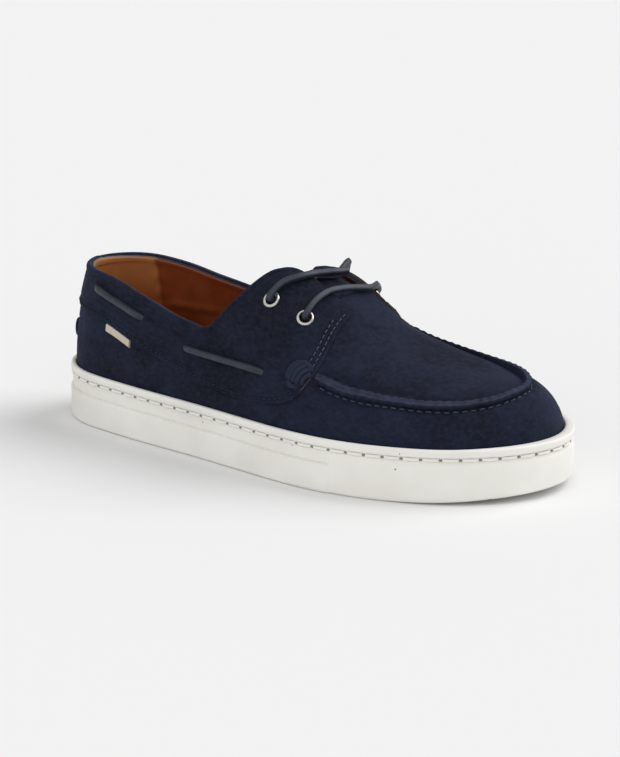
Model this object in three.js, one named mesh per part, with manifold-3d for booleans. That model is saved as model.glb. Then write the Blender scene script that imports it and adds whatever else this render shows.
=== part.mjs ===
// A suede boat shoe for the right foot, standing empty on its cup sole.
// Millimetres, +Z up. The shoe is worked out with its heel at x = 0, its toe along +X and its
// outer side along -Y, and is then moved so that the origin lies under the middle of its box.

import * as THREE from "three";
import { mergeVertices } from "three/addons/utils/BufferGeometryUtils.js";
import Module from "manifold-3d";

const wasm = await Module();
wasm.setup();

// Lengths and widths of the sole
const soleLength = 295;
const heelWidth = 72;
const ballWidth = 110;
const toeWidth = 96;
const toeDrift = 6; // how far the toe swings towards the inner side

// Heights above the floor
const soleHeight = 29; // top of the sole's side at the heel
const toeSpring = 4.5;
const cupFloor = 15; // floor of the cup at the heel, where the upper and insole stand
const collarHeight = 82; // top of the collar at the heel
const instepHeight = 104; // ridge of the last over the instep
const toeHeight = 54; // top of the toe box

// Leather, lining and fits
const upperInset = 2.6; // from the sole's side to the upper
const toeInset = 3; // added at the toe, where the sole stands further out
const upperWall = 1.8;
const panelThickness = 1.2;
const seamWidth = 2.8;
const seamHeight = 2.2;
const stripThickness = 1;
const tabThickness = 0.8;
const tongueThickness = 2.2;
const tongueDrop = 6.5; // how far its top sinks between the wings
const insoleThickness = 4;
const fit = 0.3; // gap between pieces that touch

// Sole details
const lipHeight = 4;
const lipReach = 0.9;
const grooveHeight = 2.2;
const grooveDepth = 1.2;
const ledgeDrop = 6.5; // from the groove down to the rear ledge
const ledgeReach = 0.9;
const ledgeEnd = 0.43; // station where the rear ledge stops
const frontSwell = 0.9; // how far the plain front wall bulges
const edgeRound = 1.8;
const treadDepth = 1.6;
const treadWidth = 3;
const archRise = 2.4;
const archFrom = 0.33; // stations between which the arch hollow lies
const archTo = 0.5;

// Metal and cord
const eyeletWidth = 9;
const eyeletHole = 5.2;
const eyeletRim = 1;
const barrelWall = 0.4;
const laceWidth = 3.2;

// How finely the forms are divided
const stations = 58; // sections around the shoe
const rises = 9; // rows from the sole up to the ridge
const edgeSteps = 10; // along each cut edge of collar, wing and throat
const roundSides = 12; // around an eyelet

// The sole's outline, one row for each section from the heel round to the toe tip. Reach is
// measured from the middle line, as a share of the width that the row follows.
const outline = [
  { at: 0, width: heelWidth, outer: 0.49, inner: 0.49 },
  { at: 0.09, width: heelWidth, outer: 0.49, inner: 0.49 },
  { at: 0.175, width: heelWidth, outer: 0.53, inner: 0.525 },
  { at: 0.28, width: ballWidth, outer: 0.405, inner: 0.338 },
  { at: 0.38, width: ballWidth, outer: 0.455, inner: 0.322 },
  { at: 0.48, width: ballWidth, outer: 0.518, inner: 0.332 },
  { at: 0.58, width: ballWidth, outer: 0.578, inner: 0.375 },
  { at: 0.68, width: ballWidth, outer: 0.582, inner: 0.418 },
  { at: 0.775, width: toeWidth, outer: 0.585, inner: 0.49 },
  { at: 0.86, width: toeWidth, outer: 0.5, inner: 0.485 },
  { at: 0.93, width: toeWidth, outer: 0.485, inner: 0.485 },
  { at: 1, width: toeWidth, outer: 0.49, inner: 0.49 },
];

// Sections along the last. Along is a share of the way from the heel's centre to the toe's,
// ridge a share of the height that the row follows, and square says how boxy the section is.
const lastSections = [
  { along: 0, height: instepHeight, ridge: 1.15, square: 2.1 },
  { along: 0.3, height: instepHeight, ridge: 1.1, square: 2.1 },
  { along: 0.48, height: instepHeight, ridge: 1.01, square: 2.2 },
  { along: 0.56, height: instepHeight, ridge: 0.955, square: 2.3 },
  { along: 0.72, height: instepHeight, ridge: 0.73, square: 2.2 },
  { along: 0.85, height: toeHeight, ridge: 1.16, square: 2.4 },
  { along: 1, height: toeHeight, ridge: 1, square: 3 },
];

// The sole along its whole length: top of its side as a share of its height, and floor of the
// cup as a share of the floor at the heel.
const soleSections = [
  { along: 0, top: 1, floor: 1 },
  { along: 0.25, top: 0.975, floor: 0.98 },
  { along: 0.5, top: 0.95, floor: 0.84 },
  { along: 0.75, top: 0.95, floor: 0.74 },
  { along: 1, top: 0.985, floor: 0.8 },
];

// The collar's edge seen from the side, from the heel to the notch: shares of sole length and
// of collar height. The inner side is a little lower behind and higher in front.
const collarEdge = [
  { along: 0, outer: 1, inner: 1 },
  { along: 0.07, outer: 1, inner: 0.99 },
  { along: 0.15, outer: 0.98, inner: 0.95 },
  { along: 0.22, outer: 0.92, inner: 0.905 },
  { along: 0.31, outer: 0.84, inner: 0.85 },
  { along: 0.365, outer: 0.805, inner: 0.815 },
];

// The back of the wing, from the notch up to its peak, in the same shares.
const wingEdge = [
  { along: 0.38, outer: 0.82, inner: 0.825 },
  { along: 0.425, outer: 1, inner: 0.98 },
  { along: 0.452, outer: 1.11, inner: 1.09 },
  { along: 0.475, outer: 1.17, inner: 1.14 },
  { along: 0.5, outer: 1.19, inner: 1.16 },
];

// The lower edge of the collar panel and the front edge of its wing, in the same shares.
const panelEdge = [
  { along: 0, outer: 0.735, inner: 0.735 },
  { along: 0.08, outer: 0.73, inner: 0.73 },
  { along: 0.15, outer: 0.7, inner: 0.7 },
  { along: 0.25, outer: 0.59, inner: 0.59 },
  { along: 0.35, outer: 0.505, inner: 0.505 },
  { along: 0.44, outer: 0.452, inner: 0.452 },
  { along: 0.525, outer: 0.452, inner: 0.452 },
  { along: 0.588, outer: 0.5, inner: 0.5 },
  { along: 0.618, outer: 0.62, inner: 0.62 },
  { along: 0.628, outer: 0.75, inner: 0.75 },
  { along: 0.625, outer: 0.87, inner: 0.87 },
  { along: 0.616, outer: 1.05, inner: 1.05 },
];

// The throat seen from above: distance of the wings' edges from the middle line, as shares of
// the ball's width. It opens into the collar behind.
const throatEdge = [
  { along: 0.3, outer: 0.24, inner: 0.24 },
  { along: 0.44, outer: 0.2, inner: 0.2 },
  { along: 0.5, outer: 0.18, inner: 0.18 },
  { along: 0.56, outer: 0.16, inner: 0.165 },
  { along: 0.62, outer: 0.14, inner: 0.15 },
];

// The raised seam around the plug, from the wings to the toe: its place as a share of the
// upper's reach at each station.
const seamPlaces = [
  { at: 0.6, outer: 0.83, inner: 0.74 },
  { at: 0.7, outer: 0.79, inner: 0.66 },
  { at: 0.78, outer: 0.78, inner: 0.6 },
  { at: 0.86, outer: 0.74, inner: 0.57 },
  { at: 0.93, outer: 0.65, inner: 0.57 },
  { at: 1, outer: 0.59, inner: 0.59 },
];

// A natural cubic spline through pairs of place and value.
function spline(pairs) {
  const n = pairs.length - 1;
  const step = [];
  for (let i = 0; i < n; i++) step.push(pairs[i + 1][0] - pairs[i][0]);
  const diagonal = [1];
  const rhs = [0];
  for (let i = 1; i < n; i++) {
    const rise = (pairs[i + 1][1] - pairs[i][1]) / step[i] - (pairs[i][1] - pairs[i - 1][1]) / step[i - 1];
    const factor = i > 1 ? step[i - 1] / diagonal[i - 1] : 0;
    diagonal.push(2 * (step[i - 1] + step[i]) - factor * (i > 1 ? step[i - 1] : 0));
    rhs.push(6 * rise - factor * rhs[i - 1]);
  }
  const bend = new Array(n + 1).fill(0);
  for (let i = n - 1; i > 0; i--) bend[i] = (rhs[i] - step[i] * bend[i + 1]) / diagonal[i];
  return (place) => {
    const x = Math.min(Math.max(place, pairs[0][0]), pairs[n][0]);
    let i = 0;
    while (i < n - 1 && x > pairs[i + 1][0]) i++;
    const a = x - pairs[i][0];
    const b = step[i] - a;
    return (
      (bend[i] * b ** 3 + bend[i + 1] * a ** 3) / (6 * step[i]) +
      (pairs[i][1] / step[i] - (bend[i] * step[i]) / 6) * b +
      (pairs[i + 1][1] / step[i] - (bend[i + 1] * step[i]) / 6) * a
    );
  };
}

// Reach of the sole's side around the whole shoe: stations 0 to 1 run along the outer side
// from heel to toe tip, and 1 to 2 along the inner side back to the heel.
const outerRows = outline.map((row) => [row.at, row.outer * row.width]);
const innerRows = outline.slice(1, -1).map((row) => [2 - row.at, row.inner * row.width]);
const oneTurn = [...outerRows, ...innerRows.reverse()];
const turned = (turns) => oneTurn.map(([at, reach]) => [at + 2 * turns, reach]);
const soleReach = spline([...turned(-1), ...turned(0), ...turned(1)]);

const heelCentre = soleReach(0);
const toeCentre = soleLength - soleReach(1);
const turnHeel = 0.175; // station where the heel's round ends
const turnToe = 0.775; // station where the toe's round begins
const softness = 0.05;

const ramp = (x) => (x + Math.hypot(x, softness)) / 2;
const travel = (m) => ramp(m - turnHeel) - ramp(m - turnToe);

// The point of the middle line that a station looks out from.
function spineX(m) {
  const share = (travel(m) - travel(0)) / (travel(1) - travel(0));
  return heelCentre + (toeCentre - heelCentre) * share;
}

const along = (x) => (x - heelCentre) / (toeCentre - heelCentre);
const spineY = (x) => toeDrift * Math.min(Math.max(along(x), 0), 1) ** 1.5;

// The way that a station looks, from straight back at the heel to straight ahead at the toe.
function heading(m) {
  const back = ramp(turnHeel - m) / ramp(turnHeel);
  const ahead = ramp(m - turnToe) / ramp(1 - turnToe);
  return (Math.PI / 2) * (ahead - back);
}

// A point of the plan at a station, at some reach from the middle line.
function planPoint(station, reach) {
  const p = ((station % 2) + 2) % 2;
  const m = p <= 1 ? p : 2 - p;
  const side = p <= 1 ? -1 : 1;
  const x = spineX(m);
  const angle = heading(m);
  return [x + reach * Math.sin(angle), spineY(x) + side * reach * Math.cos(angle)];
}

const topShare = spline(soleSections.map((row) => [row.along, row.top]));
const floorShare = spline(soleSections.map((row) => [row.along, row.floor]));
const springStart = 0.74;
const spring = (x) => toeSpring * Math.max((x / soleLength - springStart) / (1 - springStart), 0) ** 2;
const soleTop = (x) => soleHeight * topShare(x / soleLength);
const footHeight = (x) => cupFloor * floorShare(x / soleLength) + spring(x);

const ridgeHeight = spline(lastSections.map((row) => [row.along, row.ridge * row.height]));
const squareness = spline(lastSections.map((row) => [row.along, row.square]));

// Reach of the upper's foot.
function upperReach(station) {
  const m = station <= 1 ? station : 2 - station;
  const toe = THREE.MathUtils.smoothstep(m, turnToe, 1);
  return soleReach(station) - upperInset - toeInset * toe;
}

// A point of the last's surface: rise 0 is its foot in the sole and rise 1 its ridge.
function lastPoint(station, rise) {
  const p = ((station % 2) + 2) % 2;
  const x = spineX(p <= 1 ? p : 2 - p);
  const angle = (rise * Math.PI) / 2;
  const power = 2 / squareness(along(x));
  const reach = upperReach(p) * Math.cos(angle) ** power;
  const [px, py] = planPoint(p, reach);
  const foot = footHeight(px);
  const z = foot + (ridgeHeight(along(x)) - foot) * Math.sin(angle) ** power;
  return new THREE.Vector3(px, py, z);
}

// The same point moved out along the surface's own normal.
function offsetPoint(station, rise, offset) {
  const here = lastPoint(station, rise);
  const step = 0.004;
  const mid = Math.min(Math.max(rise, 2 * step), 1 - 4 * step);
  const up = lastPoint(station, mid + step).sub(lastPoint(station, mid - step));
  const round = lastPoint(station + step, mid).sub(lastPoint(station - step, mid));
  const normal = round.cross(up).normalize();
  if (rise === 0) normal.setZ(0).normalize();
  if (rise === 1) normal.setY(0).normalize();
  return { point: here.addScaledVector(normal, offset), normal };
}

// Solids and meshes
function geometryOf(vertices, faces) {
  const geometry = new THREE.BufferGeometry();
  geometry.setAttribute("position", new THREE.Float32BufferAttribute(vertices.flat(), 3));
  geometry.setIndex(faces.flat());
  return geometry;
}

function solidOf(geometry) {
  const bare = geometry.clone();
  bare.deleteAttribute("normal");
  bare.deleteAttribute("uv");
  const merged = mergeVertices(bare, 1e-4);
  const triVerts = new Uint32Array(merged.index.array);
  return new wasm.Manifold(
    new wasm.Mesh({ numProp: 3, vertProperties: merged.attributes.position.array, triVerts }),
  );
}

// Faces of a form made of rings of equal count, its two ends closed across from side to side.
function ringFaces(rings, count, closeTop) {
  const faces = [];
  const at = (ring, i) => ring * count + ((i + count) % count);
  for (let ring = 0; ring + 1 < rings; ring++) {
    for (let i = 0; i < count; i++) {
      faces.push([at(ring, i), at(ring, i + 1), at(ring + 1, i + 1)]);
      faces.push([at(ring, i), at(ring + 1, i + 1), at(ring + 1, i)]);
    }
  }
  for (let i = 0; i < count / 2; i++) {
    const far = count - i;
    faces.push([at(0, i), at(0, far - 1), at(0, i + 1)]);
    faces.push([at(0, i), at(0, far), at(0, far - 1)]);
    if (!closeTop) continue;
    const top = rings - 1;
    faces.push([at(top, i), at(top, i + 1), at(top, far - 1)]);
    faces.push([at(top, i), at(top, far - 1), at(top, far)]);
  }
  return faces.filter(([a, b, c]) => a !== b && b !== c && a !== c);
}

// The whole last, grown or shrunk by an offset and lifted. A skirt carries its foot further down.
// The offset may be a number or a function of the place along the shoe.
function lastSolid(offset, lift = 0, skirt = 0) {
  const offsetAt = typeof offset === "function" ? offset : () => offset;
  const vertices = [];
  const rows = skirt > 0 ? [-1] : [];
  for (let row = 0; row <= rises; row++) rows.push(row);
  for (const row of rows) {
    for (let i = 0; i < stations; i++) {
      let station = (2 * i) / stations;
      if (row === rises && i > stations / 2) station = 2 - station;
      const rise = Math.max(row, 0) / rises;
      const { point } = offsetPoint(station, rise, offsetAt(lastPoint(station, rise).x));
      vertices.push([point.x, point.y, point.z + lift - (row < 0 ? skirt : 0)]);
    }
  }
  return solidOf(withoutSlivers(geometryOf(vertices, ringFaces(rows.length, stations, false))));
}

// The two halves share their ridge, so the faces that close up there are dropped.
function withoutSlivers(geometry) {
  const merged = mergeVertices(geometry, 1e-4);
  const index = merged.index.array;
  const kept = [];
  for (let i = 0; i < index.length; i += 3) {
    const [a, b, c] = [index[i], index[i + 1], index[i + 2]];
    if (a !== b && b !== c && a !== c) kept.push(a, b, c);
  }
  merged.setIndex(kept);
  return merged;
}

const span = 3 * soleLength; // long enough for every cutting prism

// A prism across one side of the shoe, from an outline of x and z and some way off the middle.
function sidePrism(points, side, gap = 0) {
  const shape = new THREE.Shape(points.map(([x, z]) => new THREE.Vector2(x, z)));
  const geometry = new THREE.ExtrudeGeometry(shape, { depth: span, bevelEnabled: false });
  geometry.rotateX(Math.PI / 2);
  geometry.translate(0, side === "outer" ? -gap : span + gap, 0);
  return solidOf(geometry);
}

// An upright prism from an outline of x and y.
function uprightPrism(points, low, high) {
  const shape = new THREE.Shape(points.map(([x, y]) => new THREE.Vector2(x, y)));
  const geometry = new THREE.ExtrudeGeometry(shape, { depth: high - low, bevelEnabled: false });
  geometry.translate(0, 0, low);
  return solidOf(geometry);
}

// Points of a smooth curve through the rows of an edge table, on one side of the shoe.
function sideEdge(rows, side, count) {
  const corners = rows.map((row) => new THREE.Vector2(row.along * soleLength, row[side] * collarHeight));
  return new THREE.SplineCurve(corners).getPoints(count).map((point) => [point.x, point.y]);
}

const group = new THREE.Group();
const pieces = new THREE.Group();
group.add(pieces);

function addPiece(name, solid, material) {
  const { vertProperties, triVerts } = solid.getMesh();
  const geometry = new THREE.BufferGeometry();
  geometry.setAttribute("position", new THREE.BufferAttribute(vertProperties, 3));
  geometry.setIndex(new THREE.BufferAttribute(triVerts, 1));
  geometry.computeVertexNormals();
  const mesh = new THREE.Mesh(geometry, material);
  mesh.name = name;
  pieces.add(mesh);
}

const finish = (color, roughness, metalness = 0) =>
  new THREE.MeshStandardMaterial({ color, roughness, metalness });
const suede = finish(0x1d2138, 0.95);
const soleRubber = finish(0xe6e5df, 0.6);
const lining = finish(0x8a4a24, 0.6);
const laceLeather = finish(0x2f3644, 0.6);
const silver = finish(0xc9c9c6, 0.25, 1);
const ribbon = finish(0xe3dccb, 0.9);

// Sole: a moulded cup. Its side has a lip, a groove for the stitching, a ledge along the rear
// and a plain wall that swells a little in front.
const lipBottom = (x) => soleTop(x) - lipHeight;
const grooveBottom = (x) => lipBottom(x) - grooveHeight;
function soleSide(x, m) {
  const rear = m < ledgeEnd ? 1 : 0;
  const ledge = grooveBottom(x) - ledgeDrop;
  const ground = spring(x);
  const wall = -lipReach;
  const low = rear ? wall + ledgeReach : wall + frontSwell / 2;
  return [
    [ground, low - edgeRound],
    [ground + edgeRound / 2, low - edgeRound / 3],
    [ground + edgeRound, low],
    [ledge - ledgeReach, rear ? low : wall + frontSwell],
    [ledge, rear ? wall : wall + frontSwell],
    [grooveBottom(x) - grooveDepth, rear ? wall : wall + frontSwell / 3],
    [grooveBottom(x), wall],
    [grooveBottom(x) + grooveDepth / 2, wall - grooveDepth],
    [lipBottom(x), wall - grooveDepth],
    [lipBottom(x) + grooveDepth / 2, 0],
    [soleTop(x) - lipReach, 0],
    [soleTop(x), -lipReach],
  ];
}

function soleSolid() {
  const sides = [];
  for (let i = 0; i < stations; i++) {
    const p = (2 * i) / stations;
    const m = p <= 1 ? p : 2 - p;
    const reach = soleReach(p);
    const [x] = planPoint(p, reach);
    sides.push(soleSide(x, m).map(([z, out]) => [...planPoint(p, reach + out), z]));
  }
  const rings = sides[0].length;
  const vertices = [];
  for (let ring = 0; ring < rings; ring++) {
    for (const side of sides) vertices.push(side[ring]);
  }
  return solidOf(withoutSlivers(geometryOf(vertices, ringFaces(rings, stations, true))));
}

// The sole's outline in plan, drawn in from its edge, between two stations.
function outlinePoints(inset, from = 0, to = 1) {
  const points = [];
  for (let i = 0; i < stations; i++) {
    const p = (2 * i) / stations;
    const m = p <= 1 ? p : 2 - p;
    if (m >= from && m <= to) points.push(planPoint(p, soleReach(p) - inset));
  }
  return points;
}

// Tread: wavy grooves across the heel and the ball, and a hollow under the arch between them.
const treadMargin = 6;
const treadPitch = 17;
const waveLength = 28;
const waveHeight = 3;
const heelTread = 0.3; // shares of the length where the heel's tread ends and the ball's starts
const ballTread = 0.55;
const treadEnd = 0.93;
function treadGroove(x) {
  const front = [];
  const back = [];
  const waves = Math.ceil(ballWidth / waveLength);
  for (let bend = -2 * waves; bend <= 2 * waves; bend++) {
    const y = (bend * waveLength) / 2;
    const wave = bend % 2 === 0 ? waveHeight : -waveHeight;
    front.push([x + wave + treadWidth / 2, y]);
    back.unshift([x + wave - treadWidth / 2, y]);
  }
  return uprightPrism([...front, ...back], -soleHeight, treadDepth + spring(x));
}

const archTop = spring(0) + archRise;
const archHollow = uprightPrism(outlinePoints(2 * treadMargin, archFrom, archTo), -soleHeight, archTop);
let sole = soleSolid().subtract(lastSolid(fit, 0, fit)).subtract(archHollow);
const treadArea = uprightPrism(outlinePoints(treadMargin), -soleHeight, soleHeight);
for (let x = treadPitch; x < treadEnd * soleLength; x += treadPitch) {
  const share = x / soleLength;
  if (share > heelTread && share < ballTread) continue;
  sole = sole.subtract(treadGroove(x).intersect(treadArea));
}
addPiece("outsole", sole, soleRubber);

// Insole: a padded footbed that fills the foot of the upper.
const insideWall = -(upperWall + fit);
const insole = lastSolid(insideWall).subtract(lastSolid(upperWall, insoleThickness));
addPiece("insole", insole, lining);

// Upper: the hollow shell of vamp and quarters, open at the collar, the throat and underneath.
const high = 2 * instepHeight;
function collarCut(side) {
  const line = [...sideEdge(collarEdge, side, edgeSteps), ...sideEdge(wingEdge, side, edgeSteps)];
  const peak = line[line.length - 1];
  const outline = [[-span, line[0][1]], ...line, [peak[0], high], [-span, high]];
  return sidePrism(outline, side);
}
const collarCuts = collarCut("outer").add(collarCut("inner"));

// The throat's cut: an upright prism between the wings' edges.
function throatCut(reach) {
  const edge = (side) =>
    new THREE.SplineCurve(
      throatEdge.map((row) => new THREE.Vector2(row.along * soleLength, row[side] * ballWidth)),
    )
      .getPoints(edgeSteps)
      .map((point) => [point.x, point.y]);
  const outer = edge("outer");
  const inner = edge("inner");
  const last = outer.length - 1;
  outer.push([outer[last][0] + reach, outer[last][1]]);
  inner.push([inner[last][0] + reach, inner[last][1]]);
  const points = [
    ...outer.map(([x, y]) => [x, spineY(x) - y]),
    ...inner.map(([x, y]) => [x, spineY(x) + y]).reverse(),
  ];
  return uprightPrism(points, soleHeight, high);
}
const plugTuck = 8; // how far the plug runs back under the wings
const upperSolid = lastSolid(0)
  .subtract(lastSolid(-upperWall, 0, cupFloor))
  .subtract(collarCuts)
  .subtract(throatCut(-plugTuck));

// Eyelets: two in each wing, placed by station and rise on the last.
const rearEyelet = { station: 0.499, rise: 0.575 };
const frontEyelet = { station: 0.553, rise: 0.61 };
const opposite = ({ station, rise }) => ({ station: 2 - station, rise });
const eyeletPlaces = [
  { name: "rear_outer", ...rearEyelet },
  { name: "front_outer", ...frontEyelet },
  { name: "rear_inner", ...opposite(rearEyelet) },
  { name: "front_inner", ...opposite(frontEyelet) },
];
const panelTop = fit + panelThickness;
const eyeletSeat = panelTop + fit;

// A round form turned about an axis that stands on the last.
function standing(profile, place, offset) {
  const points = profile.map(([radius, height]) => new THREE.Vector2(radius, height));
  const geometry = new THREE.LatheGeometry(points, roundSides);
  const { point, normal } = offsetPoint(place.station, place.rise, offset);
  geometry.rotateX(Math.PI / 2);
  const turn = new THREE.Quaternion().setFromUnitVectors(new THREE.Vector3(0, 0, 1), normal);
  geometry.applyQuaternion(turn);
  geometry.translate(point.x, point.y, point.z);
  return solidOf(geometry);
}

const barrelRadius = eyeletHole / 2 + barrelWall;
const holeRadius = barrelRadius + fit;
const holeReach = 8;
const eyeletHoles = eyeletPlaces.map((place) =>
  standing(
    [[0, -holeReach], [holeRadius, -holeReach], [holeRadius, holeReach], [0, holeReach]],
    place,
    0,
  ),
);
const drilled = (solid) => eyeletHoles.reduce((left, hole) => left.subtract(hole), solid);

addPiece("upper", drilled(upperSolid), suede);

// Collar panels: a band around the collar that widens into a wing on each side.
const panelForm = lastSolid(panelTop)
  .subtract(lastSolid(fit))
  .subtract(collarCuts)
  .subtract(throatCut(plugTuck));
for (const side of ["outer", "inner"]) {
  const line = sideEdge(panelEdge, side, 2 * edgeSteps);
  const first = line[0];
  const last = line[line.length - 1];
  const outline = [[-span, first[1]], ...line, [last[0], high], [-span, high]];
  const cut = sidePrism(outline, side, fit / 2);
  addPiece("collar_panel_" + side, drilled(panelForm.intersect(cut)), suede);
}

// Eyelets: a rolled flange on the panel and a barrel through panel and upper.
const barrelFoot = -(eyeletSeat + upperWall);
for (const place of eyeletPlaces) {
  const solid = standing(
    [
      [eyeletHole / 2, barrelFoot],
      [barrelRadius, barrelFoot],
      [barrelRadius, 0],
      [eyeletWidth / 2, 0],
      [eyeletWidth / 2 - eyeletRim / 3, (2 * eyeletRim) / 3],
      [eyeletWidth / 2 - eyeletRim, eyeletRim],
      [eyeletHole / 2 + eyeletRim / 3, (2 * eyeletRim) / 3],
      [eyeletHole / 2, eyeletRim / 4],
      [eyeletHole / 2, barrelFoot],
    ],
    place,
    eyeletSeat,
  );
  addPiece("eyelet_" + place.name, solid, silver);
}

// Tongue: a padded leaf under the throat. It is held under the plug and sinks a little towards
// its free end between the wings.
const tongueTop = 0.5; // ends of the tongue as shares of the sole's length
const tongueRoot = 0.7;
const tongueBend = 0.62; // where it leaves the last and starts to sink
const tongueHalf = 0.22; // share of the ball's width
const tongueRound = 0.5; // length of its rounded end as a share of its half width
const rootTaper = 0.8; // width at the root as a share of its width
function sink(x) {
  const share = (tongueBend - x / soleLength) / (tongueBend - tongueTop);
  return insideWall - tongueDrop * Math.min(Math.max(share, 0), 1);
}
const tongueArc = [];
for (let turn = 0; turn <= edgeSteps; turn++) {
  const angle = Math.PI * (0.5 + turn / edgeSteps);
  const x = tongueTop * soleLength + tongueHalf * ballWidth * tongueRound * (1 + Math.cos(angle));
  tongueArc.push([x, spineY(x) + tongueHalf * ballWidth * Math.sin(angle)]);
}
const rootX = tongueRoot * soleLength;
const rootY = (side) => spineY(rootX) + side * tongueHalf * ballWidth * rootTaper;
const tongueOutline = [...tongueArc, [rootX, rootY(-1)], [rootX, rootY(1)]];
const tongueSheet = lastSolid(sink).subtract(lastSolid((x) => sink(x) - tongueThickness));
const tongue = tongueSheet.intersect(uprightPrism(tongueOutline, soleHeight, high));
addPiece("tongue", tongue, suede);

// Raised seam: the gathered ridge where the vamp's wall meets the plug, a loop around the toe.
const seamStart = 0.62;
const seamSteps = 20;
const seamShare = {
  outer: spline(seamPlaces.map((row) => [row.at, row.outer])),
  inner: spline(seamPlaces.map((row) => [row.at, row.inner])),
};
const seamLoop = (width) => {
  const points = [];
  for (let i = 0; i <= 2 * seamSteps; i++) {
    const p = seamStart + ((1 - seamStart) * i) / seamSteps;
    const share = p <= 1 ? seamShare.outer(p) : seamShare.inner(2 - p);
    points.push(planPoint(p, share * upperReach(p) + width));
  }
  return points;
};
const seamOutline = [...seamLoop(seamWidth / 2), ...seamLoop(-seamWidth / 2).reverse()];
const seamForm = lastSolid(fit + seamHeight).subtract(lastSolid(fit));
addPiece("plug_seam", seamForm.intersect(uprightPrism(seamOutline, soleHeight, high)), suede);

// Heel strip and loop: a strip over the panels' joint at the back, and a rolled loop below it.
const stripWidth = 16;
const stripFoot = 50;
const loopFoot = 38;
const loopReach = 2.6;
const loopWidth = 18;
const backPrism = (width, low, top) =>
  uprightPrism(
    [[-span, -width / 2], [heelCentre, -width / 2], [heelCentre, width / 2], [-span, width / 2]],
    low,
    top,
  );
const stripForm = lastSolid(panelTop + fit + stripThickness).subtract(lastSolid(panelTop + fit));
const strip = stripForm.subtract(collarCuts).intersect(backPrism(stripWidth, stripFoot, high));
addPiece("heel_strip", strip, suede);
const loopForm = lastSolid(fit + loopReach).subtract(lastSolid(fit));
addPiece("heel_loop", loopForm.intersect(backPrism(loopWidth, loopFoot, stripFoot - fit)), suede);

// Side tab: a plain folded ribbon sewn in under the outer panel's edge.
const tabFrom = 0.15; // shares of the sole's length
const tabTo = 0.21;
const tabWidth = 4.4;
const tabEdge = sideEdge(panelEdge, "outer", 12 * edgeSteps).filter(
  ([x]) => x > tabFrom * soleLength && x < tabTo * soleLength,
);
const tabOutline = [
  ...tabEdge.map(([x, z]) => [x, z - fit]),
  ...tabEdge.map(([x, z]) => [x, z - fit - tabWidth]).reverse(),
];
const tabForm = lastSolid(fit + tabThickness).subtract(lastSolid(fit));
addPiece("side_tab", tabForm.intersect(sidePrism(tabOutline, "outer")), ribbon);

// Laces: round leather cords, routed by station, rise and height over the last.
const cordSides = 8;
const barSteps = 28; // sections along each cord
const endSteps = 18;
const stretchSteps = 6;
function cord(route, steps) {
  const points = route.map(([station, rise, over]) => offsetPoint(station, rise, over).point);
  const ring = [];
  for (let i = 0; i < cordSides; i++) {
    const angle = (2 * Math.PI * i) / cordSides;
    ring.push(new THREE.Vector2(Math.cos(angle), Math.sin(angle)).multiplyScalar(laceWidth / 2));
  }
  const extrudePath = new THREE.CatmullRomCurve3(points, false, "centripetal");
  const shape = new THREE.Shape(ring);
  return solidOf(new THREE.ExtrudeGeometry(shape, { steps, extrudePath, bevelEnabled: false }));
}
const over = panelTop + fit + laceWidth / 2; // lying on the panel
const inEyelet = 0.2;
const mirrored = (route) => route.map(([station, rise, height]) => [2 - station, rise, height]).reverse();
const frontOuter = [
  [frontEyelet.station, frontEyelet.rise, inEyelet],
  [frontEyelet.station, frontEyelet.rise, over - 1],
  [frontEyelet.station, frontEyelet.rise, over + 1],
  [0.553, 0.7, over + 1.1],
  [0.556, 0.8, over + 0.3],
  [0.563, 0.9, over - 0.4],
];
const frontInner = mirrored([
  [frontEyelet.station, frontEyelet.rise, inEyelet],
  [frontEyelet.station, frontEyelet.rise, over - 1],
  [frontEyelet.station, frontEyelet.rise, over + 1],
  [0.56, 0.71, over + 1],
  [0.569, 0.81, over + 0.2],
  [0.574, 0.9, over - 0.5],
]);
const frontMiddle = [0.571, 1, over - 0.8];
addPiece("lace_front_bar", cord([...frontOuter, frontMiddle, ...frontInner], barSteps), laceLeather);

// Tie: the two ends cross once over the throat and stop short.
const outerEnd = [
  [rearEyelet.station, rearEyelet.rise, inEyelet],
  [rearEyelet.station, rearEyelet.rise, over - 1],
  [rearEyelet.station, rearEyelet.rise, over + 1],
  [0.506, 0.67, over + 1.1],
  [0.517, 0.74, over + 1],
  [0.527, 0.82, over + 0.3],
  [0.532, 0.91, 1.2],
  [0.535, 0.985, -0.2],
  [1.46, 0.91, 0.9],
];
const innerEnd = [
  [2 - rearEyelet.station, rearEyelet.rise, inEyelet],
  [2 - rearEyelet.station, rearEyelet.rise, over - 1],
  [2 - rearEyelet.station, rearEyelet.rise, over + 1],
  [1.493, 0.69, over + 1],
  [1.486, 0.78, over + 0.6],
  [1.477, 0.88, 0.8],
  [1.466, 0.975, -3.6],
  [0.53, 0.95, -4],
  [0.526, 0.89, -2.6],
];
addPiece("lace_end_outer", cord(outerEnd, endSteps), laceLeather);
addPiece("lace_end_inner", cord(innerEnd, endSteps), laceLeather);

// Collar laces: the stretches of the cord that show along the panels, between its holes.
const stretchGap = 0.2;
const collarStretches = [
  { name: "rear", from: [0.17, 0.4], to: [0.272, 0.29] },
  { name: "front", from: [0.368, 0.27], to: [0.512, 0.235] },
];
for (const { name, from, to } of collarStretches) {
  const route = [];
  for (let i = 0; i <= stretchSteps / 2; i++) {
    const t = (2 * i) / stretchSteps;
    const station = from[0] + (to[0] - from[0]) * t;
    const rise = from[1] + (to[1] - from[1]) * t;
    route.push([station, rise, over + stretchGap]);
  }
  addPiece("collar_lace_" + name + "_outer", cord(route, stretchSteps), laceLeather);
  addPiece("collar_lace_" + name + "_inner", cord(mirrored(route), stretchSteps), laceLeather);
}

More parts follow.
